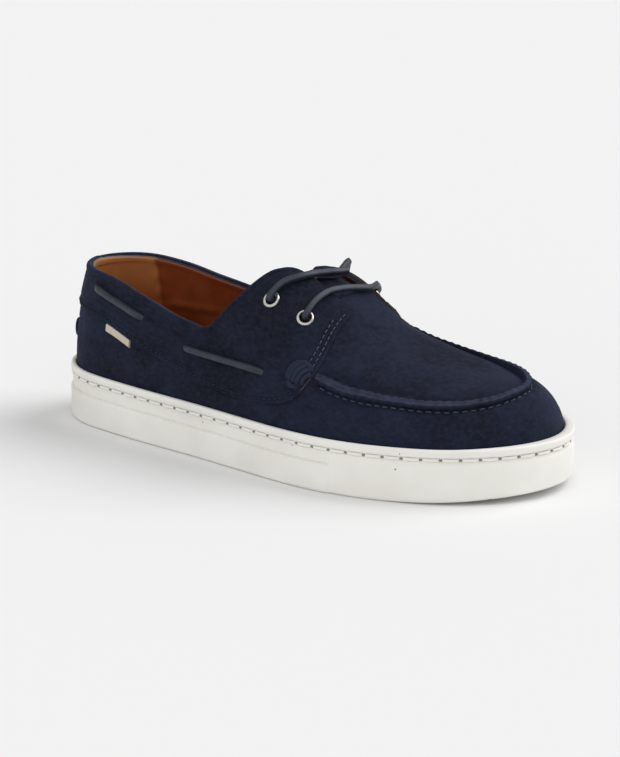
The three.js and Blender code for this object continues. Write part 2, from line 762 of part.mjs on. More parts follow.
group.updateMatrixWorld(true);
const box = new THREE.Box3().setFromObject(pieces);
pieces.position.set(-(box.min.x + box.max.x) / 2, -(box.min.y + box.max.y) / 2, -box.min.z);

export default group;
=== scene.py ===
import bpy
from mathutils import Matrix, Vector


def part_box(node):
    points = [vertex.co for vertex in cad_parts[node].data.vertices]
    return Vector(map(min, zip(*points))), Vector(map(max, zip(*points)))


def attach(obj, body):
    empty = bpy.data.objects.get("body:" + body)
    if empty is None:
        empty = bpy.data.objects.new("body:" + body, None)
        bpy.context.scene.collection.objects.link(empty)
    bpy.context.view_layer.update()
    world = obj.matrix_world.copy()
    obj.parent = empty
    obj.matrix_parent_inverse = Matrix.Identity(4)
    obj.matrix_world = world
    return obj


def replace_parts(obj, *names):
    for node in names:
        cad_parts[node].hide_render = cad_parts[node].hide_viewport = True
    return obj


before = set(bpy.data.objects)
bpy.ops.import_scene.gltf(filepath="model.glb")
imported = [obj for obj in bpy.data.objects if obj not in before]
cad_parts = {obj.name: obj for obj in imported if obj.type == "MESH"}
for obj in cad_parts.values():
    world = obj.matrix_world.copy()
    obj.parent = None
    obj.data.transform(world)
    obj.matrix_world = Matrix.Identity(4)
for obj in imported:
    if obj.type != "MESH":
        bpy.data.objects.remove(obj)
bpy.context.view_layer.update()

import math

import bmesh
import bpy
import numpy as np
from mathutils import Vector

# The last
# The wooden form that the upper is pulled over. Its outline, sections and heights give every other
# piece its place: heel at x = 0, toe along +x, outer side along -y, before the shift to the frame.
MM = 0.001
sole_length = 295
heel_width = 72
ball_width = 110
toe_width = 96
toe_drift = 6
sole_height = 29
toe_spring = 4.5
cup_floor = 15
collar_height = 82
instep_height = 104
toe_height = 54
upper_inset = 2.6
upper_wall = 1.8
toe_inset = 3
fit = 0.3

# place from heel to toe tip, width that the row follows, outer share, inner share
outline = [
    (0, heel_width, 0.49, 0.49),
    (0.09, heel_width, 0.49, 0.49),
    (0.175, heel_width, 0.53, 0.525),
    (0.28, ball_width, 0.405, 0.338),
    (0.38, ball_width, 0.455, 0.322),
    (0.48, ball_width, 0.518, 0.332),
    (0.58, ball_width, 0.578, 0.375),
    (0.68, ball_width, 0.582, 0.418),
    (0.775, toe_width, 0.585, 0.49),
    (0.86, toe_width, 0.5, 0.485),
    (0.93, toe_width, 0.485, 0.485),
    (1, toe_width, 0.49, 0.49),
]
# share of the way along, height that the row follows, ridge share, squareness
last_sections = [
    (0, instep_height, 1.15, 2.1),
    (0.3, instep_height, 1.1, 2.1),
    (0.48, instep_height, 1.01, 2.2),
    (0.56, instep_height, 0.955, 2.3),
    (0.72, instep_height, 0.73, 2.2),
    (0.85, toe_height, 1.16, 2.4),
    (1, toe_height, 1, 3),
]
# share of the length, top of the sole's side, floor of the cup
sole_sections = [(0, 1, 1), (0.25, 0.975, 0.98), (0.5, 0.95, 0.84), (0.75, 0.95, 0.74), (1, 0.985, 0.8)]


def spline(pairs):
    """A natural cubic spline through pairs of place and value."""
    place, value = np.array(pairs, float).T
    step = np.diff(place)
    slope = np.diff(value) / step
    count = len(place)
    rows = np.eye(count)
    turn = np.zeros(count)
    for i in range(1, count - 1):
        rows[i, i - 1 : i + 2] = step[i - 1], 2 * (step[i - 1] + step[i]), step[i]
        turn[i] = 6 * (slope[i] - slope[i - 1])
    bend = np.linalg.solve(rows, turn)

    def at(x):
        x = np.clip(x, place[0], place[-1])
        i = np.clip(np.searchsorted(place, x, side="right") - 1, 0, count - 2)
        a = x - place[i]
        b = step[i] - a
        cubic = (bend[i] * b**3 + bend[i + 1] * a**3) / (6 * step[i])
        left = value[i] / step[i] - bend[i] * step[i] / 6
        right = value[i + 1] / step[i] - bend[i + 1] * step[i] / 6
        return cubic + left * b + right * a

    return at


one_turn = [(at, width * outer) for at, width, outer, _ in outline]
one_turn += [(2 - at, width * inner) for at, width, _, inner in outline[-2:0:-1]]
sole_reach = spline([(at + 2 * turn, reach) for turn in (-1, 0, 1) for at, reach in one_turn])
heel_centre = float(sole_reach(0.0))
toe_centre = sole_length - float(sole_reach(1.0))
turn_heel = 0.175
turn_toe = 0.775
softness = 0.05
spring_start = 0.74
top_share = spline([(at, top) for at, top, _ in sole_sections])
floor_share = spline([(at, floor) for at, _, floor in sole_sections])
ridge_height = spline([(at, height * ridge) for at, height, ridge, _ in last_sections])
squareness = spline([(at, square) for at, _, _, square in last_sections])


def ramp(x):
    return (x + np.hypot(x, softness)) / 2


def travel(m):
    return ramp(m - turn_heel) - ramp(m - turn_toe)


def spine_x(m):
    share = (travel(m) - travel(0)) / (travel(1) - travel(0))
    return heel_centre + (toe_centre - heel_centre) * share


def along(x):
    return (x - heel_centre) / (toe_centre - heel_centre)


def spine_y(x):
    return toe_drift * np.clip(along(x), 0, 1) ** 1.5


def folded(station):
    """The station counted from the heel on either side, and the side's sign."""
    p = np.mod(station, 2)
    return np.where(p <= 1, p, 2 - p), np.where(p <= 1, -1.0, 1.0)


def plan_point(station, reach):
    m, side = folded(station)
    back = ramp(turn_heel - m) / ramp(turn_heel)
    ahead = ramp(m - turn_toe) / ramp(1 - turn_toe)
    angle = math.pi / 2 * (ahead - back)
    x = spine_x(m)
    return x + reach * np.sin(angle), spine_y(x) + side * reach * np.cos(angle)


def spring(x):
    return toe_spring * np.clip((x / sole_length - spring_start) / (1 - spring_start), 0, None) ** 2


def sole_top(x):
    return sole_height * top_share(x / sole_length)


def foot_height(x):
    return cup_floor * floor_share(x / sole_length) + spring(x)


def upper_reach(station):
    m, _ = folded(station)
    t = np.clip((m - turn_toe) / (1 - turn_toe), 0, 1)
    return sole_reach(np.mod(station, 2)) - upper_inset - toe_inset * t * t * (3 - 2 * t)


def last_point(station, rise):
    m, _ = folded(station)
    x = spine_x(m)
    angle = rise * math.pi / 2
    power = 2 / squareness(along(x))
    reach = upper_reach(station) * np.clip(np.cos(angle), 0, 1) ** power
    px, py = plan_point(station, reach)
    foot = foot_height(px)
    z = foot + (ridge_height(along(x)) - foot) * np.sin(angle) ** power
    return np.stack([px, py, z], -1)


def unit(vectors):
    return vectors / np.linalg.norm(vectors, axis=-1, keepdims=True)


def on_last(station, rise, offset):
    """Points and normals of the last's surface, moved out by an offset."""
    station, rise, offset = np.broadcast_arrays(*(np.asarray(v, float) for v in (station, rise, offset)))
    step = 0.004
    mid = np.clip(rise, 2 * step, 1 - 4 * step)
    up = last_point(station, mid + step) - last_point(station, mid - step)
    around = last_point(station + step, mid) - last_point(station - step, mid)
    normal = np.cross(around, up)
    normal[..., 2] = np.where(rise <= 0, 0, normal[..., 2])
    normal[..., 1] = np.where(rise >= 1, 0, normal[..., 1])
    normal = unit(normal)
    return last_point(station, rise) + normal * offset[..., None], normal


def share_to_rise(station, share):
    """The rise at which the last's section has come in to a share of its reach."""
    m, _ = folded(station)
    square = squareness(along(spine_x(m)))
    return np.arccos(np.clip(share, 0, 1) ** (square / 2)) * 2 / math.pi


rim = np.stack(plan_point(np.linspace(0, 2, 800), sole_reach(np.linspace(0, 2, 800))))
low, high = (np.array(corner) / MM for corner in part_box("outsole"))
shift = np.array([low[0], (low[1] + high[1] - rim[1].min() - rim[1].max()) / 2, 0])


def to_frame(points):
    return (np.asarray(points, float) + shift) * MM


# The camera
# It looks from the photograph's direction, ahead of the shoe's outer side and a little above it,
# through a long lens, and frames the one shoe.
view_azimuth = math.radians(35)
view_elevation = math.radians(15.5)
view_distance = 1500
view_lens = 140
view_aim = (152, -5, 38)
away = Vector((
    math.sin(view_azimuth) * math.cos(view_elevation),
    -math.cos(view_azimuth) * math.cos(view_elevation),
    math.sin(view_elevation),
))
camera = bpy.data.objects.new("camera", bpy.data.cameras.new("camera"))
bpy.context.collection.objects.link(camera)
camera.location = Vector(to_frame(view_aim)) + away * view_distance * MM
camera.rotation_euler = (-away).to_track_quat("-Z", "Y").to_euler()
camera.data.lens = view_lens
bpy.context.scene.camera = camera

# The laces
# Square-cut cord of oiled leather, dyed grey-navy through to a paler brown core at its cut ends.
# It runs through the eyelets, across the throat and in and out of the collar.
lace_width = 3.2
lace_corner = 3.6  # squareness of its section
lace_step = 0.8
panel_top = 1.5
on_panel = panel_top + fit + lace_width / 2
in_eyelet = 0.2
rear_eyelet = (0.499, 0.575)
front_eyelet = (0.553, 0.61)


def linear(hexadecimal):
    """A colour written as sRGB, in linear light with full alpha."""
    parts = [int(hexadecimal[i : i + 2], 16) / 255 for i in (0, 2, 4)]
    return [c / 12.92 if c <= 0.04045 else ((c + 0.055) / 1.055) ** 2.4 for c in parts] + [1.0]


def add_node(tree, kind, inputs, output=0, **settings):
    """A node's output. Its inputs, by name or number, are sockets to link or plain values."""
    node = tree.nodes.new("ShaderNode" + kind)
    for name, value in settings.items():
        setattr(node, name, value)
    for name, value in inputs.items():
        if isinstance(value, bpy.types.NodeSocket):
            tree.links.new(value, node.inputs[name])
        else:
            node.inputs[name].default_value = value
    return node.outputs[output]


def new_material(name, **constants):
    """A material with one Principled shader. Returns it, its tree and the shader's sockets."""
    material = bpy.data.materials.new(name)
    material.use_nodes = True
    sockets = material.node_tree.nodes["Principled BSDF"].inputs
    for socket, value in constants.items():
        sockets[socket.replace("_", " ")].default_value = value
    return material, material.node_tree, sockets


def per_metre(size):
    """A pattern's scale for a size in millimetres."""
    return 1 / (size * MM)


def make_mesh(name, points, faces, materials, slots=None, angle=40):
    """An object with smooth faces and sharp edges past an angle, from points in millimetres."""
    mesh = bpy.data.meshes.new(name)
    mesh.from_pydata(to_frame(points).reshape(-1, 3).tolist(), [], faces)
    mesh.validate()
    form = bmesh.new()
    form.from_mesh(mesh)
    bmesh.ops.recalc_face_normals(form, faces=form.faces)
    form.to_mesh(mesh)
    form.free()
    for material in materials:
        mesh.materials.append(material)
    if slots is not None:
        mesh.polygons.foreach_set("material_index", np.asarray(slots, np.int32))
    mesh.shade_smooth()
    mesh.set_sharp_from_angle(angle=math.radians(angle))
    piece = bpy.data.objects.new(name, mesh)
    bpy.context.collection.objects.link(piece)
    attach(piece, "root")
    return piece


def on_side(m, side):
    """The station on the outer side, 0, or the inner one, 1, from its count along the shoe."""
    return 2 - m if side else m


def lengths(points):
    """How far along a line each of its points lies."""
    return np.concatenate([[0], np.cumsum(np.linalg.norm(np.diff(points, axis=0), axis=1))])


def resampled(places, length, values):
    """Rows of values along a line, at new places on it."""
    return np.stack([np.interp(places, length, column) for column in values.T], 1)


def smooth_route(points, spacing):
    """A smooth line through points, at an even spacing."""
    points = np.asarray(points, float)
    ends = np.vstack([2 * points[0] - points[1], points, 2 * points[-1] - points[-2]])
    fine = []
    for a, b, c, d in zip(ends, ends[1:], ends[2:], ends[3:]):
        gaps = [max(np.linalg.norm(q - p), 1e-6) ** 0.5 for p, q in ((a, b), (b, c), (c, d))]
        knots = np.cumsum([0] + gaps)
        t = np.linspace(knots[1], knots[2], 24, endpoint=False)[:, None]
        ab = (knots[1] - t) / knots[1] * a + t / knots[1] * b
        bc = ((knots[2] - t) * b + (t - knots[1]) * c) / (knots[2] - knots[1])
        cd = ((knots[3] - t) * c + (t - knots[2]) * d) / (knots[3] - knots[2])
        abc = ((knots[2] - t) * ab + t * bc) / knots[2]
        bcd = ((knots[3] - t) * bc + (t - knots[1]) * cd) / (knots[3] - knots[1])
        fine.append(((knots[2] - t) * abc + (t - knots[1]) * bcd) / (knots[2] - knots[1]))
    fine = np.vstack(fine + [points[-1:]])
    length = lengths(fine)
    return resampled(np.linspace(0, length[-1], max(int(length[-1] / spacing), 2) + 1), length, fine)


def cord_rings(line, width, sides, corner, up=(0, 0, 1), flat=1.0):
    """Rings of a cord's section along a line, carried along without twisting."""
    tangent = unit(np.gradient(line, axis=0))
    side = np.cross(tangent[0], up)
    if np.linalg.norm(side) < 0.1:
        side = np.cross(tangent[0], (1, 0, 0))
    angles = np.linspace(0, 2 * math.pi, sides, endpoint=False)
    cos, sin = np.cos(angles), np.sin(angles)
    across = np.sign(cos) * np.abs(cos) ** (2 / corner) * width / 2
    height = np.sign(sin) * np.abs(sin) ** (2 / corner) * width / 2 * flat
    rings = []
    for point, forward in zip(line, tangent):
        side = unit(side - forward * np.dot(side, forward))
        rise = np.cross(side, forward)
        rings.append(point + across[:, None] * side + height[:, None] * rise)
    return np.array(rings)


def ring_faces(rings, sides):
    """Faces between closed rings of points."""
    faces = []
    for i in range(rings - 1):
        for j in range(sides):
            a = i * sides
            k = (j + 1) % sides
            faces.append((a + j, a + k, a + sides + k, a + sides + j))
    return faces


def tube_faces(rings, sides):
    """Faces of a tube with one face over each end."""
    last = (rings - 1) * sides
    ends = [tuple(reversed(range(sides))), tuple(range(last, last + sides))]
    return ring_faces(rings, sides) + ends


# Oiled leather: nearly matt, with a fine grain and paler worn spots.
lace_leather, tree, shader = new_material("oiled_lace_leather", Roughness=0.5, Specular_IOR_Level=0.45)
where = add_node(tree, "TexCoord", {}, "Object")
grain = add_node(tree, "TexNoise", {"Vector": where, "Scale": per_metre(0.9), "Detail": 4})
tone = add_node(tree, "TexNoise", {"Vector": where, "Scale": per_metre(7), "Detail": 2})
tone = add_node(tree, "MapRange", {"Value": tone, "From Min": 0.3, "From Max": 0.7})
worn = add_node(tree, "MapRange", {"Value": grain, "From Min": 0.55, "From Max": 0.8})
colour = add_node(tree, "Mix", {0: tone, 6: linear("1a1f2b"), 7: linear("272e3c")}, 2, data_type="RGBA")
colour = add_node(tree, "Mix", {0: worn, 6: colour, 7: linear("3a4152")}, 2, data_type="RGBA")
tree.links.new(colour, shader["Base Color"])
relief = add_node(tree, "Bump", {"Height": grain, "Strength": 0.5, "Distance": 0.15 * MM})
tree.links.new(relief, shader["Normal"])

lace_core = new_material("cut_lace_core", Base_Color=linear("7a5540"), Roughness=0.8)[0]


def lace_line(route):
    """The cord's middle line through stations, rises and heights over the last."""
    station, rise, over = np.array(route, float).T
    return smooth_route(on_last(station, rise, over)[0], lace_step)


def lace(name, line, sides=20):
    rings = cord_rings(line, lace_width, sides, lace_corner)
    faces = tube_faces(len(rings), sides)
    slots = [0] * (len(faces) - 2) + [1, 1]
    piece = make_mesh(name, rings, faces, [lace_leather, lace_core], slots, angle=60)
    return piece


def mirrored(route):
    return [(2 - station, rise, over) for station, rise, over in reversed(route)]


def through(eyelet, side=0):
    """The first points of a lace, straight out of an eyelet."""
    station, rise = on_side(eyelet[0], side), eyelet[1]
    return [(station, rise, over) for over in (in_eyelet, on_panel - 1, on_panel + 1)]


outer_end = through(rear_eyelet) + [
    (0.506, 0.67, on_panel + 1.1),
    (0.517, 0.74, on_panel + 1),
    (0.527, 0.82, on_panel + 0.3),
    (0.532, 0.91, 1.2),
    (0.535, 0.985, -0.2),
    (1.46, 0.91, 0.9),
]
inner_end = through(rear_eyelet, 1) + [
    (1.488, 0.69, on_panel + 0.7),
    (1.479, 0.775, on_panel + 0.1),
    (1.47, 0.87, -0.4),
    (1.464, 0.965, -3.6),
    (0.53, 0.95, -4),
    (0.526, 0.89, -2.6),
]
for name, route in (("lace_end_outer", outer_end), ("lace_end_inner", inner_end)):
    line = lace_line(route)
    piece = lace(name + "_leather", line)
    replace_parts(piece, name)
    path = to_frame(line).tolist()
    lengths(line)[-1] * MM

outer_half = through(front_eyelet) + [
    (0.553, 0.7, on_panel + 1.1),
    (0.556, 0.8, on_panel + 0.3),
    (0.563, 0.9, on_panel - 0.4),
    (0.571, 1, on_panel - 0.8),
]
inner_half = through(front_eyelet) + [
    (0.56, 0.71, on_panel + 1),
    (0.569, 0.81, on_panel + 0.2),
    (0.574, 0.9, on_panel - 0.5),
]
front_bar = lace("lace_front_bar_leather", lace_line(outer_half + mirrored(inner_half)))
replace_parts(front_bar, "lace_front_bar")

# Behind the panel the lace runs from each front eyelet to the rear one on the same side.
behind = -upper_wall - 0.4 - lace_width / 2
inside_run = [
    (*front_eyelet, 0),
    (*front_eyelet, behind + 1.2),
    (0.545, 0.605, behind),
    (0.526, 0.59, behind - 0.3),
    (0.508, 0.58, behind),
    (*rear_eyelet, behind + 1.2),
    (*rear_eyelet, 0),
]
for side, run in (("outer", inside_run), ("inner", mirrored(inside_run))):
    lace("lace_inside_" + side, lace_line(run))

# Stretches along the collar, which dive into the panel at both ends.
collar_stretches = {"rear": ((0.17, 0.37), (0.272, 0.312)), "front": ((0.368, 0.255), (0.512, 0.268))}
stretch_over = on_panel - 0.5


def stretch_route(start, end):
    start, end = np.array(start), np.array(end)
    span = np.linalg.norm(np.diff(on_last(*np.array([start, end]).T, 0)[0], axis=0))
    places = [(-3 / span, -0.6), (-0.8 / span, 1.1), (2.2 / span, stretch_over)]
    places += [(0.35, stretch_over + 0.15), (0.65, stretch_over + 0.1)]
    places += [(1 - 2.2 / span, stretch_over), (1 + 0.8 / span, 1.1), (1 + 3 / span, -0.6)]
    return [(*(start + (end - start) * t), over) for t, over in places]


for place, (start, end) in collar_stretches.items():
    route = stretch_route(start, end)
    for side, way in (("outer", route), ("inner", mirrored(route))):
        name = f"collar_lace_{place}_{side}"
        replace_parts(lace(name + "_leather", lace_line(way)), name)

# The outsole
# A cup moulded in pale rubber: lip, stitching groove, a ledge along the rear and a plain bulging
# wall in front. The upper is stitched to it through the groove, with a long thick thread.
lip_height = 4
lip_reach = 0.9
groove_height = 2.2
groove_depth = 0.5
ledge_drop = 6.5
ledge_reach = 1.2
ledge_end = 0.64
front_swell = 0.9
edge_round = 1.8
tread_depth = 1.6
tread_width = 3
tread_margin = 6
tread_pitch = 17
razor_depth = 0.8
razor_width = 0.7
wave_length = 28
wave_height = 3
wave_steps = 14
heel_tread = 0.3
ball_tread = 0.55
tread_end = 0.93
arch_rise = 2.4
arch_stations = (0.33, 0.5)
below_floor = -4
sole_columns = 420


def lip_bottom(x):
    return sole_top(x) - lip_height


def groove_bottom(x):
    return lip_bottom(x) - groove_height


def arc(middle_out, middle_z, radius, start, end, count):
    """Points of a round edge, from one angle to another in degrees."""
    for angle in np.radians(np.linspace(start, end, count)):
        yield middle_out + radius * np.cos(angle), middle_z + radius * np.sin(angle)


def sole_side(station):
    """The side's profile from the floor up and over the lip, as pairs of reach past the edge and height."""
    m, _ = folded(station)
    reach = sole_reach(np.mod(station, 2))
    x, _ = plan_point(station, reach)
    rear = np.clip((ledge_end - m) / 0.002 + 0.5, 0, 1)
    floor = spring(x)
    wall = -lip_reach
    low = wall + rear * ledge_reach + (1 - rear) * front_swell / 2
    ledge = groove_bottom(x) - ledge_drop
    yield from arc(low - edge_round, floor + edge_round, edge_round, -90, 0, 6)
    start = floor + edge_round
    end = groove_bottom(x) - 0.9

    def swell(height):
        bulge = front_swell * (0.5 + 0.5 * np.sin(math.pi * (height - start) / (end - start)))
        return (1 - rear) * bulge

    steps = [(0.25, 0), (0.5, 0), (0.75, 0), (1, -0.9), (1, -0.45), (1, -0.15), (1, 0.05), (1, 0.3)]
    rear_out = [1, 1, 1, 1, 0.95, 0.45, -0.3, -0.1]
    for (share, more), out in zip(steps, rear_out):
        height = start + (ledge - start) * share + more
        yield wall + rear * out * ledge_reach + swell(height), height
    for share in (0.3, 0.6, 0.85):
        height = ledge + (end - ledge) * share
        yield wall + swell(height), height
    groove_lip = [(0.06, -0.75), (0.2, -0.5), (0.2, -0.25), (0.04, -0.04), (-0.15, 0.06), (-0.4, 0.35)]
    for out, height in groove_lip:
        yield wall + out, groove_bottom(x) + height
    yield wall - groove_depth, groove_bottom(x) + groove_height / 2
    for out, height in ((-0.45, -0.4), (-0.15, -0.08), (0.4, 0), (0.75, 0.25)):
        yield wall + out, lip_bottom(x) + height
    yield 0, lip_bottom(x) + 1
    yield 0.08, sole_top(x) - lip_height / 2
    yield from arc(-0.9, sole_top(x) - 0.9, 0.9, 0, 90, 5)
    inner = upper_reach(station) + 0.05 - reach
    yield (inner - 0.9) / 2, sole_top(x) - 0.02
    yield inner + 0.5, sole_top(x) - 0.1
    yield inner, sole_top(x) - 0.6
    yield inner, foot_height(x) - fit


def sole_rings():
    stations = np.linspace(0, 2, sole_columns, endpoint=False)
    reach = sole_reach(stations)
    rings = []
    for share in (0.0, 0.35, 0.7):
        x, y = plan_point(stations, reach * share)
        rings.append(np.stack([x, y, spring(x)], 1))
    for out, height in sole_side(stations):
        x, y = plan_point(stations, reach + out)
        rings.append(np.stack([x, y, height], 1))
    for share in (0.6, 0.3, 0.0):
        x, y = plan_point(stations, (upper_reach(stations) + fit) * share)
        rings.append(np.stack([x, y, foot_height(x) - fit], 1))
    return np.array(rings)


def welded(points, faces, near=0.02):
    """Points that meet are made one, and faces that vanish with them are dropped."""
    keys = np.round(np.asarray(points) / near).astype(np.int64)
    _, first, back = np.unique(keys, axis=0, return_index=True, return_inverse=True)
    back = back.ravel()
    kept = []
    for face in faces:
        corners = [int(back[i]) for i in face]
        corners = [c for i, c in enumerate(corners) if c != corners[i - 1]]
        if len(set(corners)) > 2:
            kept.append(tuple(corners))
    return np.asarray(points)[first], kept


def prism(points, bottom, top):
    """Points and faces of an upright prism from its outline."""
    points = np.asarray(points, float)
    count = len(points)
    rings = [np.column_stack([points, np.full(count, z)]) for z in (bottom, top)]
    faces = [(i, (i + 1) % count, count + (i + 1) % count, count + i) for i in range(count)]
    faces += [tuple(reversed(range(count))), tuple(range(count, 2 * count))]
    return np.vstack(rings), faces


def wavy_bar(x, width, depth):
    """A groove's solid across the sole, clipped to the tread's margin."""
    around = np.linspace(0, 2, 400)
    edge = np.stack(plan_point(around, sole_reach(around) - tread_margin), 1)
    near = edge[np.abs(edge[:, 0] - x) < 4, 1]
    low_y, high_y = near.min(), near.max()
    y = np.linspace(low_y, high_y, int((high_y - low_y) / wave_length * wave_steps))
    wave = x + wave_height * np.sin(2 * math.pi * y / wave_length + math.pi / 2)
    front = np.stack([wave + width / 2, y], 1)
    back = np.stack([wave - width / 2, y], 1)
    return prism(np.vstack([back, front[::-1]]), below_floor, depth + float(spring(x)))


def joined(parts):
    """The points and faces of several pieces as one."""
    faces = []
    start = 0
    for points, piece_faces in parts:
        faces += [tuple(start + i for i in face) for face in piece_faces]
        start += len(points)
    return np.vstack([points for points, _ in parts]), faces


def cut(piece, cutter):
    """Takes one solid out of another and drops the cutter."""
    step = piece.modifiers.new("cut", "BOOLEAN")
    step.operation = "DIFFERENCE"
    step.solver = "MANIFOLD"
    step.object = cutter
    graph = bpy.context.evaluated_depsgraph_get()
    mesh = bpy.data.meshes.new_from_object(piece.evaluated_get(graph))
    piece.modifiers.clear()
    piece.data = mesh
    bpy.data.objects.remove(cutter)


# Moulded rubber: off-white and matt, a little translucent, with faint flow marks and grey specks.
sole_rubber, tree, shader = new_material(
    "moulded_sole_rubber",
    Roughness=0.55,
    Specular_IOR_Level=0.4,
    Subsurface_Weight=0.08,
    Subsurface_Scale=2 * MM,
    Subsurface_Radius=(1.0, 0.9, 0.7),
)
where = add_node(tree, "TexCoord", {}, "Object")
cloud = add_node(tree, "TexNoise", {"Vector": where, "Scale": per_metre(30), "Detail": 3})
cloud = add_node(tree, "MapRange", {"Value": cloud, "From Min": 0.35, "From Max": 0.7})
skin = add_node(tree, "TexNoise", {"Vector": where, "Scale": per_metre(0.8), "Detail": 3})
speck = add_node(tree, "TexVoronoi", {"Vector": where, "Scale": per_metre(9)})
rarely = add_node(tree, "TexNoise", {"Vector": where, "Scale": per_metre(34), "Detail": 0})
small = add_node(tree, "Math", {0: speck, 1: 0.05}, operation="LESS_THAN")
chosen = add_node(tree, "Math", {0: rarely, 1: 0.62}, operation="GREATER_THAN")
dots = add_node(tree, "Math", {0: small, 1: chosen}, operation="MULTIPLY")
colour = add_node(tree, "Mix", {0: cloud, 6: linear("f2f1eb"), 7: linear("eae8e1")}, 2, data_type="RGBA")
colour = add_node(tree, "Mix", {0: dots, 6: colour, 7: linear("75736e")}, 2, data_type="RGBA")
tree.links.new(colour, shader["Base Color"])
relief = add_node(tree, "Bump", {"Height": skin, "Strength": 0.25, "Distance": 0.1 * MM})
tree.links.new(relief, shader["Normal"])

rings = sole_rings()
points, faces = welded(rings.reshape(-1, 3), ring_faces(len(rings), sole_columns))
outsole = make_mesh("outsole_cup", points, faces, [sole_rubber], angle=50)
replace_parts(outsole, "outsole")

# Tread under heel and ball: broad wavy grooves with razor cuts between them, and the arch hollow.
cuts = []
for x in np.arange(tread_pitch, tread_end * sole_length, tread_pitch):
    if heel_tread < x / sole_length < ball_tread:
        continue
    cuts.append(wavy_bar(x, tread_width, tread_depth))
    for third in (1, 2):
        between = x + third * tread_pitch / 3
        if between < tread_end * sole_length:
            cuts.append(wavy_bar(between, razor_width, razor_depth))
arch = np.linspace(*arch_stations, 20)
arch_rim = [np.stack(plan_point(s, sole_reach(s) - 2 * tread_margin), 1) for s in (arch, 2 - arch[::-1])]
cuts.append(prism(np.vstack(arch_rim), below_floor, arch_rise))
cut(outsole, make_mesh("tread_cutter", *joined(cuts), [sole_rubber]))
outsole.data.set_sharp_from_angle(angle=math.radians(50))

# Stitches in the groove: pale waxed thread lying in long stitches, with a grey mark between them as painted
# shade in each needle hole.
# Each size is pitch, length, thread width and how deep the ends turn down.
sole_stitch = (9.5, 7.9, 1.7, 0.75)
sole_hole_shade = (9.5, 1.7, 1, 0.35)
stitch_sides = 8
stitch_rings = 7


def stitched_row(name, line, normals, size, material, phase=0.5):
    """A row of stitches along a line on a surface, all in one mesh."""
    pitch, length, width, sink = size
    travelled = lengths(line)
    count = int(travelled[-1] / pitch)
    depth = sink * np.abs(np.linspace(-1, 1, stitch_rings)) ** 4
    threads = []
    for i in range(count):
        middle = (i + phase) * travelled[-1] / count
        places = np.linspace(middle - length / 2, middle + length / 2, stitch_rings)
        normal = unit(resampled(places, travelled, normals))
        thread = resampled(places, travelled, line) + normal * width * 0.25 - normal * depth[:, None]
        rings = cord_rings(thread, width, stitch_sides, 2, up=normal[0])
        threads.append((rings.reshape(-1, 3), tube_faces(stitch_rings, stitch_sides)))
    piece = make_mesh(name, *joined(threads), [material], angle=70)


pale_thread = new_material(
    "pale_waxed_thread", Base_Color=linear("f0eee7"), Roughness=0.6, Specular_IOR_Level=0.3
)[0]
# Grey painted shade for the needle holes between the stitches.
needle_hole_shade = new_material(
    "needle_hole_shadow", Base_Color=linear("8a8881"), Roughness=0.9, Specular_IOR_Level=0.1
)[0]

stations = np.linspace(0, 2, 1200)
x, y = plan_point(stations, sole_reach(np.mod(stations, 2)) - lip_reach - groove_depth)
groove_line = np.stack([x, y, groove_bottom(x) + groove_height * 0.45], 1)
outward = unit(np.cross(np.gradient(groove_line, axis=0), (0, 0, 1)) * np.array([1, 1, 0]))
stitched_row("sole_stitches", groove_line, outward, sole_stitch, pale_thread)
# The marks of painted shade sit between the stitches.
hole_shade_line = groove_line + outward * 0.1
stitched_row("sole_needle_hole_shade", hole_shade_line, outward, sole_hole_shade, needle_hole_shade, phase=0)

# The insole
# A footbed of foam under smooth lining leather, dished at the heel. It is glued down in the cup
# of the sole, and its edge meets the lining all around.
insole_thickness = 4
inside = -(upper_wall + fit)
insole_columns = 220
insole_profile = [  # share of the way to the wall, and height over the footbed's thickness
    (1, -0.8),
    (0.995, -0.3),
    (0.975, 0),
    (0.95, 0.05),
    (0.9, -0.15),
    (0.8, -0.35),
    (0.6, -0.5),
    (0.4, -0.6),
    (0.2, -0.6),
    (0, -0.6),
]


def bisected(past, low, high, shape, steps):
    """The last value before a turn and the last one tried, by halving from low to high."""
    low, high = np.full(shape, float(low)), np.full(shape, float(high))
    for _ in range(steps):
        middle = (low + high) / 2
        over = past(middle)
        high = np.where(over, middle, high)
        low = np.where(over, low, middle)
    return low, middle


def bump(x, middle, width):
    """A soft bump of height 1 around a middle."""
    return np.exp(-(((x - middle) / width) ** 2))


# Smooth lining leather: tan at the heel and red-brown further in, with painted shade that darkens it
# lower down and towards the toe, paler rubbed patches at random and fine pores.
lining_leather, tree, shader = new_material("smooth_lining_leather", Roughness=0.42, Specular_IOR_Level=0.4)
where = add_node(tree, "TexCoord", {}, "Object")
along_shoe = add_node(tree, "SeparateXYZ", {"Vector": where}, "X")
height_way = add_node(tree, "SeparateXYZ", {"Vector": where}, "Z")
# past_joint parts the heel's lining from the front's; the other three masks bring in painted shade: lower
# down at the heel, further towards the toe in front, and low inside on both.
past_joint, low, forward, shade_low_inside = (
    add_node(tree, "MapRange", {"Value": value, "From Min": start, "From Max": end})
    for value, start, end in (
        (along_shoe, -0.1185, -0.1165),
        (height_way, 0.085, 0.045),
        (along_shoe, -0.116, -0.06),
        (height_way, 0.066, 0.03),
    )
)
patches = {"Vector": where, "Scale": per_metre(16), "Detail": 5, "Roughness": 0.6}
stain = add_node(tree, "TexNoise", patches)
rubbed = add_node(tree, "MapRange", {"Value": stain, "From Min": 0.4, "From Max": 0.8, "To Max": 0.45})
pores = add_node(tree, "TexVoronoi", {"Vector": where, "Scale": per_metre(0.9)})
